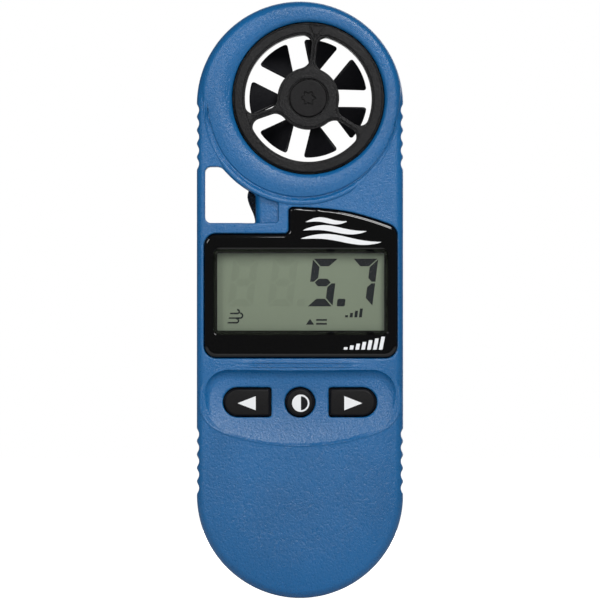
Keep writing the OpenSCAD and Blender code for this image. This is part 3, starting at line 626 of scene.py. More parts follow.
def notch_hollow(x, y, z):
    """The thumb notch right of the side window."""
    notch = box2(x, z, PORT[2] - 3, PORT[1], NOTCH_RIGHT, NOTCH_TOP + 3, 0.8)
    notch = both(notch, clear_of_bead(x, z), 0.5)
    return slab(notch, y, FACE - 3, FACE + NOTCH_DEPTH, 0.25)


def notch_fall(x, y, z):
    """What the rounded edge between the notch and the side window takes away."""
    roll_x, roll_y = PORT[2] + NOTCH_ROLL, FACE + NOTCH_DEPTH + NOTCH_ROLL
    fall = both(both(x - roll_x, y - roll_y), NOTCH_ROLL - np.hypot(x - roll_x, y - roll_y))
    fall = both(fall, np.maximum(PORT[1] - z, z - NOTCH_TOP - 3))
    return both(both(fall, clear_of_bead(x, z)), PORT[2] - 2.0 - x)


def front_casing(x, y, z):
    """The front shell, from its outer form inwards."""
    window = window2(x, z, 0.1)
    opening = box2(x, z, VIEW[0] - 0.5, VIEW[1] - 0.5, VIEW[2] + 0.5, VIEW[3] + 0.5)
    d = casing_form(x, y, z, 0)
    d = front_face_details(x, y, z, d)
    d = cut(d, front_cavity(x, y, z))
    d = cut(d, duct(x, z), 0.9)
    d = cut(d, port2(x, z), 0.35)
    d = cut(d, notch_hollow(x, y, z), 0.25)
    d = cut(d, notch_fall(x, y, z), 0.15)
    d = cut(d, both(plug_pocket(x, z), -5.0 - y))
    d = cut(d, both(window, y - (window_high[1] + 0.4)), 0.3)
    d = cut(d, both(opening, y - LCD_FRONT))
    hollow = scoop(x, y, z)
    d = cut(d, hollow, 0.15)
    d = np.minimum(d, both(scoop_lip(x, y, z, FACE + crown(x, z)), -hollow))
    for side in (-1, 0, 1):
        d = cut(d, key2(x, z, side), 0.3)
    d = cut(d, grips(x, z), 0.25)
    d = cut(d, both(places(x, z, SCREWS, PILOT_R), -4.5 - y))
    return both(d, y - PARTING, SEAM_EDGE)


def door_turns(x, y, z, inner, outer, span, y0, y1, start):
    """Three helical ring sectors that turn as they rise along +Y."""
    angle = np.degrees(np.arctan2(-(z - BATTERY_Z), x)) - start - 360 * (y - y0) / THREAD_LEAD
    angle = (angle + 60 - span / 2) % 120 - 60 + span / 2
    r = np.hypot(x, z - BATTERY_Z)
    half = np.radians(span / 2)
    sector = (np.abs(np.radians(angle) - half) - half) * np.minimum(r, outer)
    return both(both(sector * 0.9, between(r, inner, outer)), between(y, y0, y1))


def pin_distance(y, z):
    """Distance from the lanyard pin's axis."""
    return np.hypot(y - (pin_low[1] + pin_high[1]) / 2, z - (pin_low[2] + pin_high[2]) / 2)


def rear_cavity(x, y, z):
    """The rear shell's hollow, with the battery's well and the lanyard eye left solid."""
    cell = circle(x, z, 0.0, BATTERY_Z, 0.0)
    keep = any_of(
        filled(x, z),
        both(cell - WELL_R, WELL_FRONT - y),
        both(cell - DOOR_RIM_R, BACK - DOOR_RIM_DEPTH - y),
        both(box2(x, z, -6.0, 2.4, 6.0, 9.4), BACK - 5.4 - y),
    )
    return cut(casing_form(x, y, z, WALL), keep)


def rear_casing(x, y, z):
    """The rear shell, with the battery's well, screw holes, label bed and lanyard eye."""
    cell = circle(x, z, 0.0, BATTERY_Z, 0.0)
    margin = 0.15
    label = box2(
        x, z, label_low[0] - margin, label_low[2] - margin,
        label_high[0] + margin, label_high[2] + margin, 2.0,
    )
    d = casing_form(x, y, z, 0)
    d = cut(d, rear_cavity(x, y, z))
    d = cut(d, both(duct(x, z), y - (-MODULE_FRONT + 0.05)))
    d = cut(d, both(circle(x, z, DUCT_X, DUCT_Z, REAR_OPENING_R), PARTING - y), 0.6)
    d = cut(d, port2(x, z), 0.5)
    d = cut(d, both(plug_pocket(x, z), y - 5.0))
    d = cut(d, both(cell - CELL_R, CELL_FRONT - y))
    d = cut(d, both(cell - DOOR_SEAT_R, BACK - DOOR_SEAT_DEPTH - y))
    d = cut(d, both(cell - (DOOR_R + 0.2), BACK - 1.3 - y), 0.3)
    d = cut(d, door_turns(x, y, z, 10.9, 12.9, 42.0, BACK - 2.65, BACK - 0.8, -3.0 - 4.5))
    d = cut(d, grips(x, z), 0.25)
    d = cut(d, places(x, z, SCREWS, CLEARANCE_R))
    d = cut(d, both(places(x, z, SCREWS, SCREW_SEAT_R), SCREW_SEAT - y), 0.25)
    d = cut(d, both(label, BACK - 0.25 - y), 0.1)
    d = cut(d, both(box2(x, z, *EYE, 1.0), BACK - EYE_DEPTH - y), 0.4)
    d = cut(d, both(pin_distance(y, z) - 0.85, np.abs(x) - 5.0))
    return both(d, PARTING - y, SEAM_EDGE)


# ---- Impeller module ----


def from_axis(x, z):
    """Offsets and distance from the impeller's axis."""
    u, w = x - DUCT_X, z - DUCT_Z
    return u, w, np.hypot(u, w)


def spider2(x, z):
    """Outline of the module's ring, hub and arms."""
    u, w, r = from_axis(x, z)
    d = r - HUB_R
    for angle in ARM_ANGLES:
        along, across = turned(u, w, math.radians(angle))
        d = join(d, both(np.abs(across) - ARM_HALF, -along), ARM_ROOT_R)
    return join(d, PASSAGE_R - r, ARM_RIM_R)


def module_half(x, y, z, mark):
    """Half of the impeller module's housing, with its spider towards -Y."""
    u, w, r = from_axis(x, z)
    ring = both(r - MODULE_R, MODULE_FRONT - y, 0.3)
    ring = cut(ring, both(15.12 - r, y - (MODULE_FRONT + 1.2)), 0.15)
    ring = both(ring, PASSAGE_R - r, 0.25)
    outline = spider2(x, z)
    inside = both(outline, r - (MODULE_R - 0.5))
    arms = slab(inside, y, ARM_FRONT, ARM_FRONT + ARM_DEPTH, 0.2)
    d = join(ring, arms, 0.05)
    hub = slab(r - HUB_R, y, ARM_FRONT, -3.4, 0.45)
    d = join(d, hub, 0.1)
    d = cut(d, both(-(outline + 0.42), y - (MODULE_FRONT + 0.5)), 0.15)
    d = cut(d, both(r - PLUG_SEAT_R, y - (MODULE_FRONT + 1.01)), 0.12)
    d = cut(d, both(r - (PLUG_STEM_R + 0.03), y + 4.0))
    d = cut(d, r - 0.8)
    if mark:
        along, across = turned(u, w, math.radians(ARM_ANGLES[0]))
        sign = convex(across, along, [(-1.75, 14.95), (0.0, 11.9), (1.75, 14.95)])
        d = cut(d, both(np.abs(sign + 0.12) - 0.2, y - (MODULE_FRONT + 0.8)), 0.05)
        groove = both(np.abs(r - (TONGUE_INNER_R + TONGUE_OUTER_R) / 2) - 0.35, -1.05 - y)
        d = cut(d, groove)
    return both(d, y)


def module_front(x, y, z):
    return module_half(x, y, z, True)


def module_rear(x, y, z):
    """The rear half, with the ring-shaped tongue that enters the front half."""
    d = module_half(x, -y, z, False)
    _, _, r = from_axis(x, z)
    tongue = slab(r - TONGUE_OUTER_R, y, -1.0, 0.3)
    return np.minimum(d, cut(tongue, r - TONGUE_INNER_R))


def rotor(x, y, z):
    """Pitched and slightly cambered blades round a hub, which is hollow for the magnet."""
    u, w, r = from_axis(x, z)
    step = 2 * math.pi / BLADES
    nearest = (np.floor(np.arctan2(w, u) / step) + 0.5) * step
    along, across = turned(u, w, nearest)
    pitch = math.radians(BLADE_PITCH)
    chord = across * math.cos(pitch) - y * math.sin(pitch)
    height = y * math.cos(pitch) + across * math.sin(pitch)
    half = (along * math.tan(step / 2) - BLADE_GAP / math.cos(step / 2)) / math.cos(pitch)
    plan = both((np.abs(chord) - half) * 0.85, r - ROTOR_R, 0.7)
    camber = CAMBER * (1 - (chord / 5.5) ** 2)
    blade = both(plan, np.abs(height - camber + 0.2) - BLADE_HALF, 0.18)
    blade = both(blade, 4.5 - along)
    hub = slab(r - ROTOR_HUB_R, y, -ROTOR_HUB_HALF, ROTOR_HUB_HALF, 0.4)
    d = join(blade, hub, 0.35)
    d = cut(d, both(r - 2.63, -1.1 - y))
    return cut(d, r - AXLE_HOLE_R)


def bearing_plug(x, y, z):
    """The front bearing plug, with its six-lobed recess."""
    u, w, r = from_axis(x, z)
    cap = slab(r - PLUG_CAP_R, y, PLUG_FRONT, PLUG_FRONT + PLUG_CAP_THICK, 0.28)
    d = np.minimum(cap, slab(r - PLUG_STEM_R, y, PLUG_FRONT + 0.1, -4.05))
    star = r - (STAR_R + STAR_WAVE * np.cos(STAR_LOBES * np.arctan2(w, u)))
    d = cut(d, both(star * 0.85, y - (PLUG_FRONT + 0.15)), 0.05)
    d = cut(d, both((np.abs(star - 0.02) - 0.19) * 0.85, y - (PLUG_FRONT + 0.65)), 0.03)
    return cut(d, both(r - 1.12, -4.85 - y))


def rear_plug(x, y, z):
    return bearing_plug(x, -y, z)


# ---- Keys, window, door and small parts ----


def key_top(x, z, side):
    """Depth of a key's swollen top."""
    centre = side * (KEY_INNER + KEY_OUTER) / 2
    return KEY_FRONT + KEY_SWELL * ((x - centre) ** 2 * 0.35 + (z - KEY_Z) ** 2)


def key(side):
    """The field of a key: its cap, the flange that keeps it in, and the stem under it."""
    def field(x, y, z):
        centre = side * (KEY_INNER + KEY_OUTER) / 2
        outline = key2(x, z, side, -KEY_GAP)
        swell = key_top(x, z, side) - KEY_FRONT
        return any_of(
            slab(outline, y - swell, KEY_FRONT, FACE + 3.5, 0.42),
            slab(outline - KEY_FLANGE, y, FACE + 2.85, FACE + 3.55),
            slab(circle(x, z, centre, KEY_Z, KEY_STEM_R), y, FACE + 2.85, FACE + 5.35),
        )

    return field


def window_panel(x, y, z):
    """The black frame of the window, its opening flared towards the front."""
    d = slab(window2(x, z), y, window_low[1], window_high[1])
    d = both(d, both(window2(x, z), window_low[1] - y, WINDOW_EDGE))
    view = box2(x, z, *VIEW, VIEW_R) - VIEW_FLARE * (window_high[1] - y)
    return cut(d, view / math.hypot(1, VIEW_FLARE), 0.05)


def window_pane(x, y, z):
    """The clear pane that fills the front of the opening."""
    flare = VIEW_FLARE * (window_high[1] - window_low[1] - PANE_THICK - 0.05)
    view = box2(x, z, *VIEW, VIEW_R) - flare
    return slab(view + 0.02, y, window_low[1] + 0.02, window_low[1] + PANE_THICK, 0.04)


def port_plug(x, y, z):
    """A ridged rubber plug whose smooth flank bulges into the side window."""
    bulge = np.interp(z, PLUG_HEIGHTS, PLUG_BULGES)
    form = both((PORT[2] - bulge - x) * 0.8, x - (PORT[2] + 0.12))
    arc = (PORT_ARC_R + 0.02) - np.hypot(x, z - HEAD_Z)
    form = both(both(form, PORT[1] + 0.05 - z), arc)
    ridge = RIDGE_HEIGHT * (1 - np.cos(2 * math.pi * (z - 0.6 * x) / RIDGE_PITCH))
    front = slab(form, y - ridge * ramp(y, 0.0, plug_low[1]), plug_low[1], plug_high[1], 0.25)
    stem = box2(x, z, PORT[2] - 0.1, PORT[1] + 0.7, plug_high[0], NOTCH_TOP - 0.5)
    return np.minimum(front, slab(stem, y, -4.6, 4.6, 0.2))


def battery_door(x, y, z):
    """The coin-slotted disc with its seal groove and helical lugs."""
    r = np.hypot(x, z - BATTERY_Z)
    slot = box2(
        x, z, -SLOT_HALF_LENGTH, BATTERY_Z - SLOT_HALF_WIDTH,
        SLOT_HALF_LENGTH, BATTERY_Z + SLOT_HALF_WIDTH, 0.88,
    )
    d = any_of(
        slab(r - DOOR_R, y, BACK - 1.2, BACK - 0.05, 0.3),
        slab(r - 11.9, y, BACK - 2.5, BACK - 1.0, 0.2),
        door_turns(x, y, z, 11.6, 12.7, 36.0, BACK - 2.5, BACK - 1.7, 0.0),
    )
    d = cut(d, both(13.05 - r, y - (BACK - 0.74)))
    d = cut(d, both(slot, BACK - 0.75 - y), 0.2)
    ring = np.abs(r - 12.6) - 0.18
    return cut(d, both(ring, BACK - 0.3 - y), 0.06)


def rear_label(x, y, z):
    """A blank label with a sunk line round its edge."""
    outline = box2(x, z, label_low[0], label_low[2], label_high[0], label_high[2], 1.85)
    d = slab(outline, y, label_low[1], label_high[1], 0.05)
    frame_line = np.abs(outline + 1.3) - 0.14
    return cut(d, both(frame_line, label_high[1] - 0.07 - y), 0.02)


def casing_screws(x, y, z):
    """Four screws with cross recesses."""
    screws = []
    for cx, cz in SCREWS:
        r = circle(x, z, cx, cz, 0.0)
        u, w = np.abs(x - cx), np.abs(z - cz)
        head = slab(r - SCREW_HEAD_R, y, SCREW_SEAT, BACK - 1.1, 0.25)
        shank = slab(r - SCREW_SHANK_R, y, -4.0, SCREW_SEAT + 0.1, 0.1)
        cross = np.minimum(np.maximum(u - 0.25, w - 1.1), np.maximum(w - 0.25, u - 1.1))
        screws.append(cut(np.minimum(head, shank), both(cross, BACK - 1.9 - y), 0.08))
    return any_of(*screws)


def lanyard_pin(x, y, z):
    r = (pin_high[2] - pin_low[2]) / 2
    return both(pin_distance(y, z) - r, np.abs(x) - pin_high[0], 0.25)


# ---- Prints: thin raised shapes in one plane ----

DIGIT_W, DIGIT_H, STROKE, SEGMENT_GAP = 5.2, 9.75, 1.55, 0.17
SLANT = math.tan(math.radians(7.25))
DIGIT_Z = 59.65
DIGIT_X = [-14.87, -6.72, 1.43, 9.58]
ARROW = [(9.05, 38.4), (12.75, 39.85), (9.05, 41.3)]
POWER_MARK_R = 1.6


def segment(name):
    """Corners of one segment of a digit, counter-clockwise, before it is slanted."""
    w, h, t, g = DIGIT_W, DIGIT_H, STROKE, SEGMENT_GAP
    m = h / 2
    if name == "g":
        return [
            (t / 2 + g, m), (t + g, m - t / 2), (w - t - g, m - t / 2),
            (w - t / 2 - g, m), (w - t - g, m + t / 2), (t + g, m + t / 2),
        ]
    if name in "ad":
        corners = [(g, h), (t + g, h - t), (w - t - g, h - t), (w - g, h)]
    else:
        corners = [(0, m + g), (t / 2, m + g), (t, m + t / 2 + g), (t, h - t - g), (0, h - g)]
    if name in "bc":
        corners = [(w - x, z) for x, z in reversed(corners)]
    if name in "cde":
        corners = [(x, h - z) for x, z in reversed(corners)]
    return corners


def digit2(x, z, place, names):
    """The named segments of the digit at one of the four places."""
    w = z - DIGIT_Z
    u = x - DIGIT_X[place] - w * SLANT
    return any_of(*[convex(u, w, segment(name)) for name in names])


def point2(x, z, place):
    """The decimal point after the digit at one of the four places."""
    w = z - DIGIT_Z
    u = x - DIGIT_X[place] - w * SLANT
    return box2(u, w, DIGIT_W + 0.85, 0.0, DIGIT_W + 2.5, 1.55, 0.3)


def shown_digits(x, z):
    return any_of(digit2(x, z, 2, "afgcd"), digit2(x, z, 3, "abc"), point2(x, z, 2))


def ghost_digits(x, z):
    return any_of(digit2(x, z, 0, "abcdefg"), digit2(x, z, 1, "abcdefg"), point2(x, z, 1))


def breeze_sign(x, z):
    """Three strokes, each with a hook at its end."""
    strokes = []
    for row, (length, curl) in enumerate([(1.7, 0.42), (2.2, 0.5), (1.4, 0.38)]):
        z0 = 56.3 + 0.95 * row
        x0 = -14.7 + 0.25 * row
        hook = np.abs(np.hypot(x - x0 - length, z - z0 - curl) - curl) - 0.16
        strokes.append(capsule(x, z, x0, z0, x0 + length, z0, 0.14, 0.17))
        strokes.append(both(hook, (x0 + length) - 0.05 - x))
    return any_of(*strokes)


def rising_bars(x, z, count, x0, z0, pitch, width, height, rise, slant, r):
    """A row of slanted bars, each higher than the one before it."""
    bars = []
    for i in range(count):
        left = x0 + pitch * i
        u = x - (z - z0) * slant
        bars.append(box2(u, z, left, z0, left + width, z0 + height + rise * i, r))
    return any_of(*bars)


def peak_sign(x, z):
    return any_of(
        convex(x, z, [(1.2, 55.9), (2.9, 55.9), (2.05, 57.1)]),
        box2(x, z, 3.3, 55.9, 5.5, 56.25, 0.05),
        box2(x, z, 3.3, 56.7, 5.5, 57.05, 0.05),
    )


def display_marks(x, z):
    """A breeze sign, a unit sign of four rising bars, and a peak sign: plain generic marks."""
    bars = rising_bars(x, z, 4, 9.2, 57.4, 0.95, 0.6, 0.45, 0.45, SLANT, 0.05)
    return any_of(breeze_sign(x, z), bars, peak_sign(x, z))


def wave2(x, z, x0, x1, z0, rise, thick, bend):
    """A streak that swells in its middle and ends in points, on a gentle wave."""
    t = np.clip((x - x0) / (x1 - x0), 0, 1)
    middle = z0 + rise * t + bend * np.sin(2 * math.pi * t * 0.9)
    half = thick * np.sin(math.pi * np.clip(t, 0.001, 0.999)) ** 0.7
    return np.maximum((np.abs(z - middle) - half) * 0.8, between(x, x0, x1))


def window_marks(x, z):
    """Streaks of wind above the display and a plain row of bars below it."""
    return any_of(
        wave2(x, z, 0.2, 16.6, 73.5, -0.4, 0.62, 0.55),
        wave2(x, z, 0.6, 13.6, 75.2, 0.1, 0.6, 0.5),
        wave2(x, z, 1.2, 9.6, 76.9, 0.35, 0.5, 0.4),
        rising_bars(x, z, 7, 8.9, 50.8, 1.2, 0.75, 0.5, 0.36, 0.2, 0.08),
    )


def key_marks(side):
    """A half-filled ring on the power key, and an arrow on each side key."""
    def outline(x, z):
        if side == 0:
            disc = circle(x, z, 0.15, KEY_Z - 0.2, POWER_MARK_R)
            return np.minimum(np.abs(disc) - 0.17, both(disc, x - 0.2))
        return convex(x * side, z, ARROW)

    return outline


# ---- Materials ----


def new_material(name):
    material = bpy.data.materials.new(name)
    material.use_nodes = True
    tree = material.node_tree
    shader = tree.nodes["Principled BSDF"]
    return material, tree, shader


def put(node, values):
    """Sets inputs of a node, given by name or number."""
    for name, value in values.items():
        node.inputs[name].default_value = value


def noise(tree, scale, detail=2.0, rough=0.5):
    """Noise over the object's own coordinates, its scale in waves a metre."""
    place = tree.nodes.new("ShaderNodeTexCoord")
    out = tree.nodes.new("ShaderNodeTexNoise")
    put(out, {"Scale": scale, "Detail": detail, "Roughness": rough})
    tree.links.new(place.outputs["Object"], out.inputs["Vector"])
    return out


def ramp_between(tree, source, low, high, value0, value1):
    """Maps a 0 to 1 source from low to high onto two numbers."""
    out = tree.nodes.new("ShaderNodeMapRange")
    put(out, {"From Min": low, "From Max": high, "To Min": value0, "To Max": value1})
    tree.links.new(source, out.inputs["Value"])
    return out.outputs["Result"]


def tint(tree, factor, colour_a, colour_b, socket):
    """Mixes two colours by a factor into a shader's socket."""
    mix = tree.nodes.new("ShaderNodeMix")
    mix.data_type = "RGBA"
    put(mix, {"A": (*colour_a, 1), "B": (*colour_b, 1)})
    tree.links.new(factor, mix.inputs["Factor"])
    tree.links.new(mix.outputs["Result"], socket)


GRAIN_HEIGHT = 0.00013
DRIFT_SCALE = 70
GLOSS_SWAY, GLOSS_SHARE = 0.05, 0.25


def moulded(
    name, colour, rough, grain, grain_scale, spread=0.12, specular=0.5, metallic=0.0, mottle=0.35
):
    """Moulded plastic or metal: a fine grain in the surface, and slight drifts of tone and gloss."""
    material, tree, shader = new_material(name)
    drift = noise(tree, DRIFT_SCALE, 3.0)
    fine = noise(tree, grain_scale, 3.0, 0.55)
    low = tuple(c * (1 - spread) for c in colour)
    high = tuple(c * (1 + spread) for c in colour)
    blend = tree.nodes.new("ShaderNodeMath")
    blend.operation = "MULTIPLY_ADD"
    put(blend, {1: mottle})
    tree.links.new(fine.outputs["Fac"], blend.inputs[0])
    tree.links.new(ramp_between(tree, drift.outputs["Fac"], 0.3, 0.7, 0.1, 0.65), blend.inputs[2])
    tint(tree, blend.outputs["Value"], low, high, shader.inputs["Base Color"])
    sway = min(GLOSS_SWAY, GLOSS_SHARE * rough)
    gloss = ramp_between(tree, fine.outputs["Fac"], 0.25, 0.75, rough - sway, rough + sway)
    tree.links.new(gloss, shader.inputs["Roughness"])
    put(shader, {"Metallic": metallic, "Specular IOR Level": specular})
    bump = tree.nodes.new("ShaderNodeBump")
    put(bump, {"Strength": grain, "Distance": GRAIN_HEIGHT})
    tree.links.new(fine.outputs["Fac"], bump.inputs["Height"])
    tree.links.new(bump.outputs["Normal"], shader.inputs["Normal"])
    return material


# Colour, roughness, strength and scale of the grain, and what else differs from the usual.
LOOKS = {
    "casing_plastic": ((0.0025, 0.088, 0.242), 0.30, 1.0, 2300, {"spread": 0.18, "mottle": 0.9}),
    "module_plastic": ((0.0050, 0.0048, 0.0053), 0.36, 0.5, 2200, {"specular": 0.18}),
    "rotor_plastic": ((0.004, 0.004, 0.006), 0.40, 0.15, 2400, {}),
    "plug_plastic": ((0.0050, 0.0046, 0.0050), 0.42, 0.2, 2600, {"specular": 0.15}),
    "key_rubber": ((0.0035, 0.0032, 0.0036), 0.45, 0.3, 2600, {"specular": 0.15}),
    "seal_rubber": ((0.010, 0.010, 0.011), 0.5, 0.2, 3000, {}),
    "port_rubber": ((0.008, 0.011, 0.018), 0.16, 0.1, 2600, {}),
    "conductive_rubber": ((0.006, 0.006, 0.007), 0.6, 0.2, 3000, {}),
    "window_acrylic": ((0.0012, 0.0011, 0.0011), 0.05, 0.0, 900, {"specular": 0.4}),
    "mask_print": ((0.005, 0.005, 0.006), 0.5, 0.05, 2000, {}),
    "gasket_foam": ((0.020, 0.020, 0.021), 0.8, 0.6, 4000, {}),
    "display_glass": ((0.272, 0.325, 0.232), 0.40, 0.02, 1500, {"spread": 0.04, "specular": 0.2}),
    "reflector_film": ((0.20, 0.24, 0.19), 0.4, 0.05, 1800, {}),
    "frame_plastic": ((0.66, 0.66, 0.62), 0.45, 0.15, 2600, {}),
    "board_laminate": ((0.02, 0.11, 0.045), 0.32, 0.15, 1200, {}),
    "chip_resin": ((0.012, 0.012, 0.013), 0.55, 0.3, 4200, {}),
    "ceramic": ((0.42, 0.30, 0.16), 0.5, 0.2, 3600, {}),
    "gold_plate": ((0.75, 0.56, 0.20), 0.28, 0.1, 2600, {"metallic": 1.0}),
    "copper_wire": ((0.55, 0.20, 0.07), 0.34, 0.3, 4200, {"metallic": 1.0}),
    "steel": ((0.55, 0.56, 0.58), 0.3, 0.1, 2600, {"metallic": 1.0}),
    "cell_steel": ((0.62, 0.63, 0.65), 0.34, 0.1, 2200, {"metallic": 1.0}),
    "magnet_metal": ((0.22, 0.22, 0.24), 0.45, 0.2, 3600, {"metallic": 1.0}),
    "jewel": ((0.50, 0.04, 0.10), 0.08, 0.02, 2000, {}),
    "label_foil": ((0.40, 0.41, 0.43), 0.36, 0.06, 1600, {"spread": 0.05, "metallic": 0.6}),
    "white_print": ((0.72, 0.73, 0.74), 0.5, 0.08, 3000, {"spread": 0.04}),
    "display_ink": ((0.01764, 0.02122, 0.02416), 0.5, 0.05, 2600, {"spread": 0.08, "specular": 0.2}),
    "ghost_ink": ((0.251, 0.300, 0.214), 0.4, 0.02, 1500, {"spread": 0.04, "specular": 0.2}),
}


def clear_pane():
    """The clear middle of the window: polished, with the faintest haze."""
    material, tree, shader = new_material("window_clear")
    haze = noise(tree, 900, 2.0)
    dark, light = (0.010, 0.010, 0.010), (0.014, 0.014, 0.014)
    tint(tree, haze.outputs["Fac"], dark, light, shader.inputs["Base Color"])
    put(shader, {"Roughness": 0.05, "Alpha": 0.12})
    return material


materials = {name: moulded(name, *look[:-1], **look[-1]) for name, look in LOOKS.items()}
materials["window_clear"] = clear_pane()

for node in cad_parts.values():
    for place in node.material_slots:
        cad_name = place.material.name
        for slot, material in materials.items():
            if cad_name.startswith(slot):
                place.material = material


# ---- The pieces ----


def fitted(name, field, cad, step, body, material, margin=None):
    """A piece meshed within the box of the CAD node that it replaces."""
    solid(name, field, even(*node_box(cad), step, margin), body, material, [cad])


def shells():
    x = spaced(-END_R - 0.5, (END_R + 0.5, 0.21))
    front = spaced(
        CREST - 0.3, (FACE + 0.6, 0.14), (FACE + 3.0, 0.25), (PARTING - 0.5, 0.45),
        (PARTING + 0.3, 0.12),
    )
    rear = spaced(PARTING - 0.3, (PARTING + 0.5, 0.12), (BACK - 3.2, 0.45), (BACK + 0.3, 0.22))
    z = spaced(-0.5, (46.2, 0.21), (49.0, 0.12), (79.5, 0.21), (83.0, 0.15), (122.5, 0.21))
    solid("front_shell", front_casing, [x, front, z], "casing", "casing_plastic", ["front_casing"])
    solid("rear_shell", rear_casing, [x, rear, z], "casing", "casing_plastic", ["rear_casing"])


def window_pieces():
    fitted("window_panel", window_panel, "display_window", 0.2, "casing", "window_acrylic")
    low = (VIEW[0], window_low[1], VIEW[1])
    high = (VIEW[2], window_low[1] + PANE_THICK, VIEW[3])
    axes = even(low, high, 0.25, (1.5, 0.5, 1.5))
    solid("window_clear_pane", window_pane, axes, "casing", "window_clear")


def key_piece(side, body, cad):
    """A key's rubber cap and the print on its top."""
    fitted(cad + "_cap", key(side), cad, 0.14, body, "key_rubber")
    mark = key_marks(side)

    def sign(x, y, z):
        return both(mark(x, z), np.abs(y - key_top(x, z, side)) - 0.03)

    low, high = node_box(cad)
    low[1], high[1] = KEY_FRONT - 0.1, KEY_FRONT + 0.3
    axes = even(low, high, (0.09, 0.025, 0.09), 0)
    solid(cad + "_sign", sign, axes, body, "white_print", sharp=PRINT_SHARP)


def flat_print(name, outline, box, depth, thick, step, material):
    """A thin raised print in the plane y = depth, towards -Y."""
    def field(x, y, z):
        return both(outline(x, z), np.abs(y - depth + thick / 2) - thick / 2)

    x0, z0, x1, z1 = box
    low, high = (x0, depth - 2.5 * thick, z0), (x1, depth + 1.5 * thick, z1)
    axes = even(low, high, (step, thick / 2, step), 0)
    solid(name, field, axes, "casing", material, sharp=PRINT_SHARP)


def prints():
    """The display's digits and signs, and the signs printed on the window."""
    for name, outline, box, thick, step, ink in (
        ("display_digits", shown_digits, (0.5, 59.0, 18.0, 70.2), 0.04, 0.14, "display_ink"),
        ("display_ghosts", ghost_digits, (-15.5, 59.0, 2.0, 70.2), 0.02, 0.16, "ghost_ink"),
        ("display_signs", display_marks, (-15.8, 55.3, 14.0, 60.0), 0.04, 0.08, "display_ink"),
    ):
        flat_print(name, outline, box, LCD_FRONT, thick, step, ink)
    box = (-1.0, 50.0, 18.5, 79.0)
    flat_print("window_signs", window_marks, box, window_low[1], 0.03, 0.1, "white_print")


def module_pieces():
    body = "impeller_module"
    axes = [
        spaced(module_low[0] - 0.3, (0.6, 0.16), (6.2, 0.09), (module_high[0] + 0.3, 0.16)),
        spaced(module_low[1] - 0.3, (module_low[1] + 1.5, 0.11), (module_high[1] + 0.3, 0.2)),
        spaced(module_low[2] - 0.3, (113.2, 0.16), (117.3, 0.09), (module_high[2] + 0.3, 0.16)),
    ]
    solid("module_front_housing", module_front, axes, body, "module_plastic", ["module_front_frame"])
    fitted("module_rear_housing", module_rear, "module_rear_frame", 0.18, body, "module_plastic")
    fitted("rotor_blades", rotor, "rotor", 0.14, "impeller", "rotor_plastic", 0.5)
    fitted("front_plug_cap", bearing_plug, "front_bearing_plug", 0.09, body, "plug_plastic")
    fitted("rear_plug_cap", rear_plug, "rear_bearing_plug", 0.09, body, "plug_plastic")


def small_pieces():
    axes = even((plug_low[0], plug_low[1], PORT[1]), plug_high, 0.1)
    solid("port_plug", port_plug, axes, "casing", "port_rubber", ["sensor_port_plug"])
    fitted("door_disc", battery_door, "battery_door", 0.16, "door", "casing_plastic")
    step, margin = (0.2, 0.035, 0.2), (0.4, 0.1, 0.4)
    fitted("blank_label", rear_label, "rear_label", step, "casing", "label_foil", margin)
    fitted("case_screws", casing_screws, "casing_screws", 0.16, "casing", "steel")
    fitted("eye_pin", lanyard_pin, "lanyard_pin", 0.12, "casing", "steel")


# ---- Studio ----

AIM = (0.0, 0.0, 0.065)
LIGHTS = [
    ("key_light", (0.16, -0.42, 0.42), 0.20, 1.75),
    ("left_light", (-0.34, -0.48, 0.27), 0.20, 1.0),
    ("front_light", (0.04, -0.46, 0.18), 0.10, 0.42),
    ("back_light", (0.2, 0.9, 0.28), 0.9, 3.5),
]
SURROUND = (0.13, 0.135, 0.14, 1)
FLOOR_HALF, FLOOR_SIDES, FLOOR_Z = 3.0, 48, -0.0002
LENS, SENSOR = 1000.0, 36.0
VIEW_WIDTH, VIEW_Z = 0.12262, 0.06095


def area_light(name, place, size, power):
    """A round light that points at the meter."""
    data = bpy.data.lights.new(name, "AREA")
    data.shape = "DISK"
    data.size = size
    data.energy = power
    obj = link(bpy.data.objects.new(name, data))
    obj.location = place
    turn = Vector(AIM) - Vector(place)
    obj.rotation_mode = "QUATERNION"
    obj.rotation_quaternion = turn.to_track_quat("-Z", "Y")


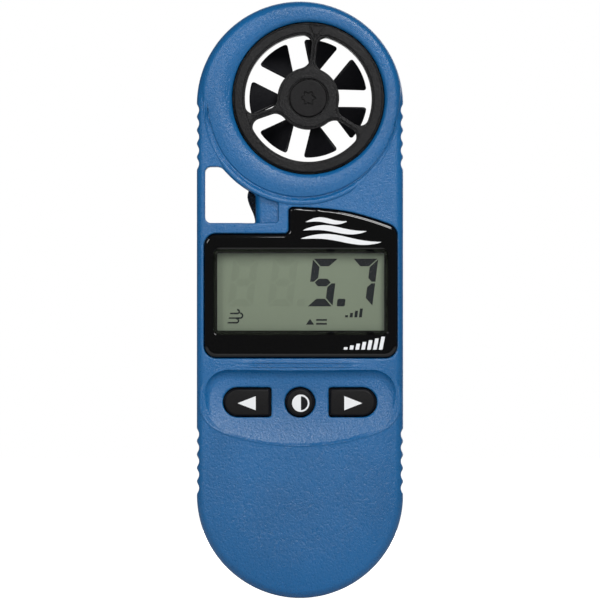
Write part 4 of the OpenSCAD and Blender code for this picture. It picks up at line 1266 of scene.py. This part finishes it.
def studio():
    """The lights, and surroundings that are white to the camera and dim to the meter."""
    scene = bpy.context.scene
    scene.view_settings.view_transform = "Standard"
    scene.view_settings.look = "None"
    for light in LIGHTS:
        area_light(*light)
    world = bpy.data.worlds.new("studio")
    scene.world = world
    world.use_nodes = True
    tree = world.node_tree
    dim = tree.nodes["Background"]
    put(dim, {"Color": SURROUND})
    bright = tree.nodes.new("ShaderNodeBackground")
    put(bright, {"Color": (1, 1, 1, 1)})
    mix = tree.nodes.new("ShaderNodeMixShader")
    path = tree.nodes.new("ShaderNodeLightPath")
    tree.links.new(path.outputs["Is Camera Ray"], mix.inputs["Fac"])
    tree.links.new(dim.outputs["Background"], mix.inputs[1])
    tree.links.new(bright.outputs["Background"], mix.inputs[2])
    tree.links.new(mix.outputs["Shader"], tree.nodes["World Output"].inputs["Surface"])


def floor():
    """A large pale floor under the meter."""
    mesh = bpy.data.meshes.new("floor")
    angles = [2 * math.pi * i / FLOOR_SIDES for i in range(FLOOR_SIDES)]
    corners = [(FLOOR_HALF * math.cos(a), FLOOR_HALF * math.sin(a), FLOOR_Z) for a in angles]
    mesh.from_pydata(corners, [], [list(range(FLOOR_SIDES))])
    obj = link(bpy.data.objects.new("floor", mesh))
    material, tree, shader = new_material("floor_paper")
    put(shader, {"Roughness": 0.9, "Emission Color": (1, 1, 1, 1)})
    grain = noise(tree, 40, 2.0)
    dark, light = (0.80, 0.80, 0.80), (0.84, 0.84, 0.84)
    tint(tree, grain.outputs["Fac"], dark, light, shader.inputs["Base Color"])
    path = tree.nodes.new("ShaderNodeLightPath")
    glow = ramp_between(tree, path.outputs["Is Camera Ray"], 0, 1, 0.0, 1.0)
    tree.links.new(glow, shader.inputs["Emission Strength"])
    mesh.materials.append(material)


def camera():
    """A long lens straight in front, as in the photo."""
    data = bpy.data.cameras.new("camera")
    data.sensor_width = SENSOR
    data.lens = LENS
    data.clip_start, data.clip_end = 0.1, 30.0
    obj = link(bpy.data.objects.new("camera", data))
    obj.location = (0.0, FACE / METRE - VIEW_WIDTH * LENS / SENSOR, VIEW_Z)
    obj.rotation_euler = (math.pi / 2, 0.0, 0.0)
    bpy.context.scene.camera = obj


shells()
window_pieces()
key_piece(-1, "left_button", "left_key")
key_piece(0, "power_button", "power_key")
key_piece(1, "right_button", "right_key")
prints()
module_pieces()
small_pieces()
studio()
floor()
camera()
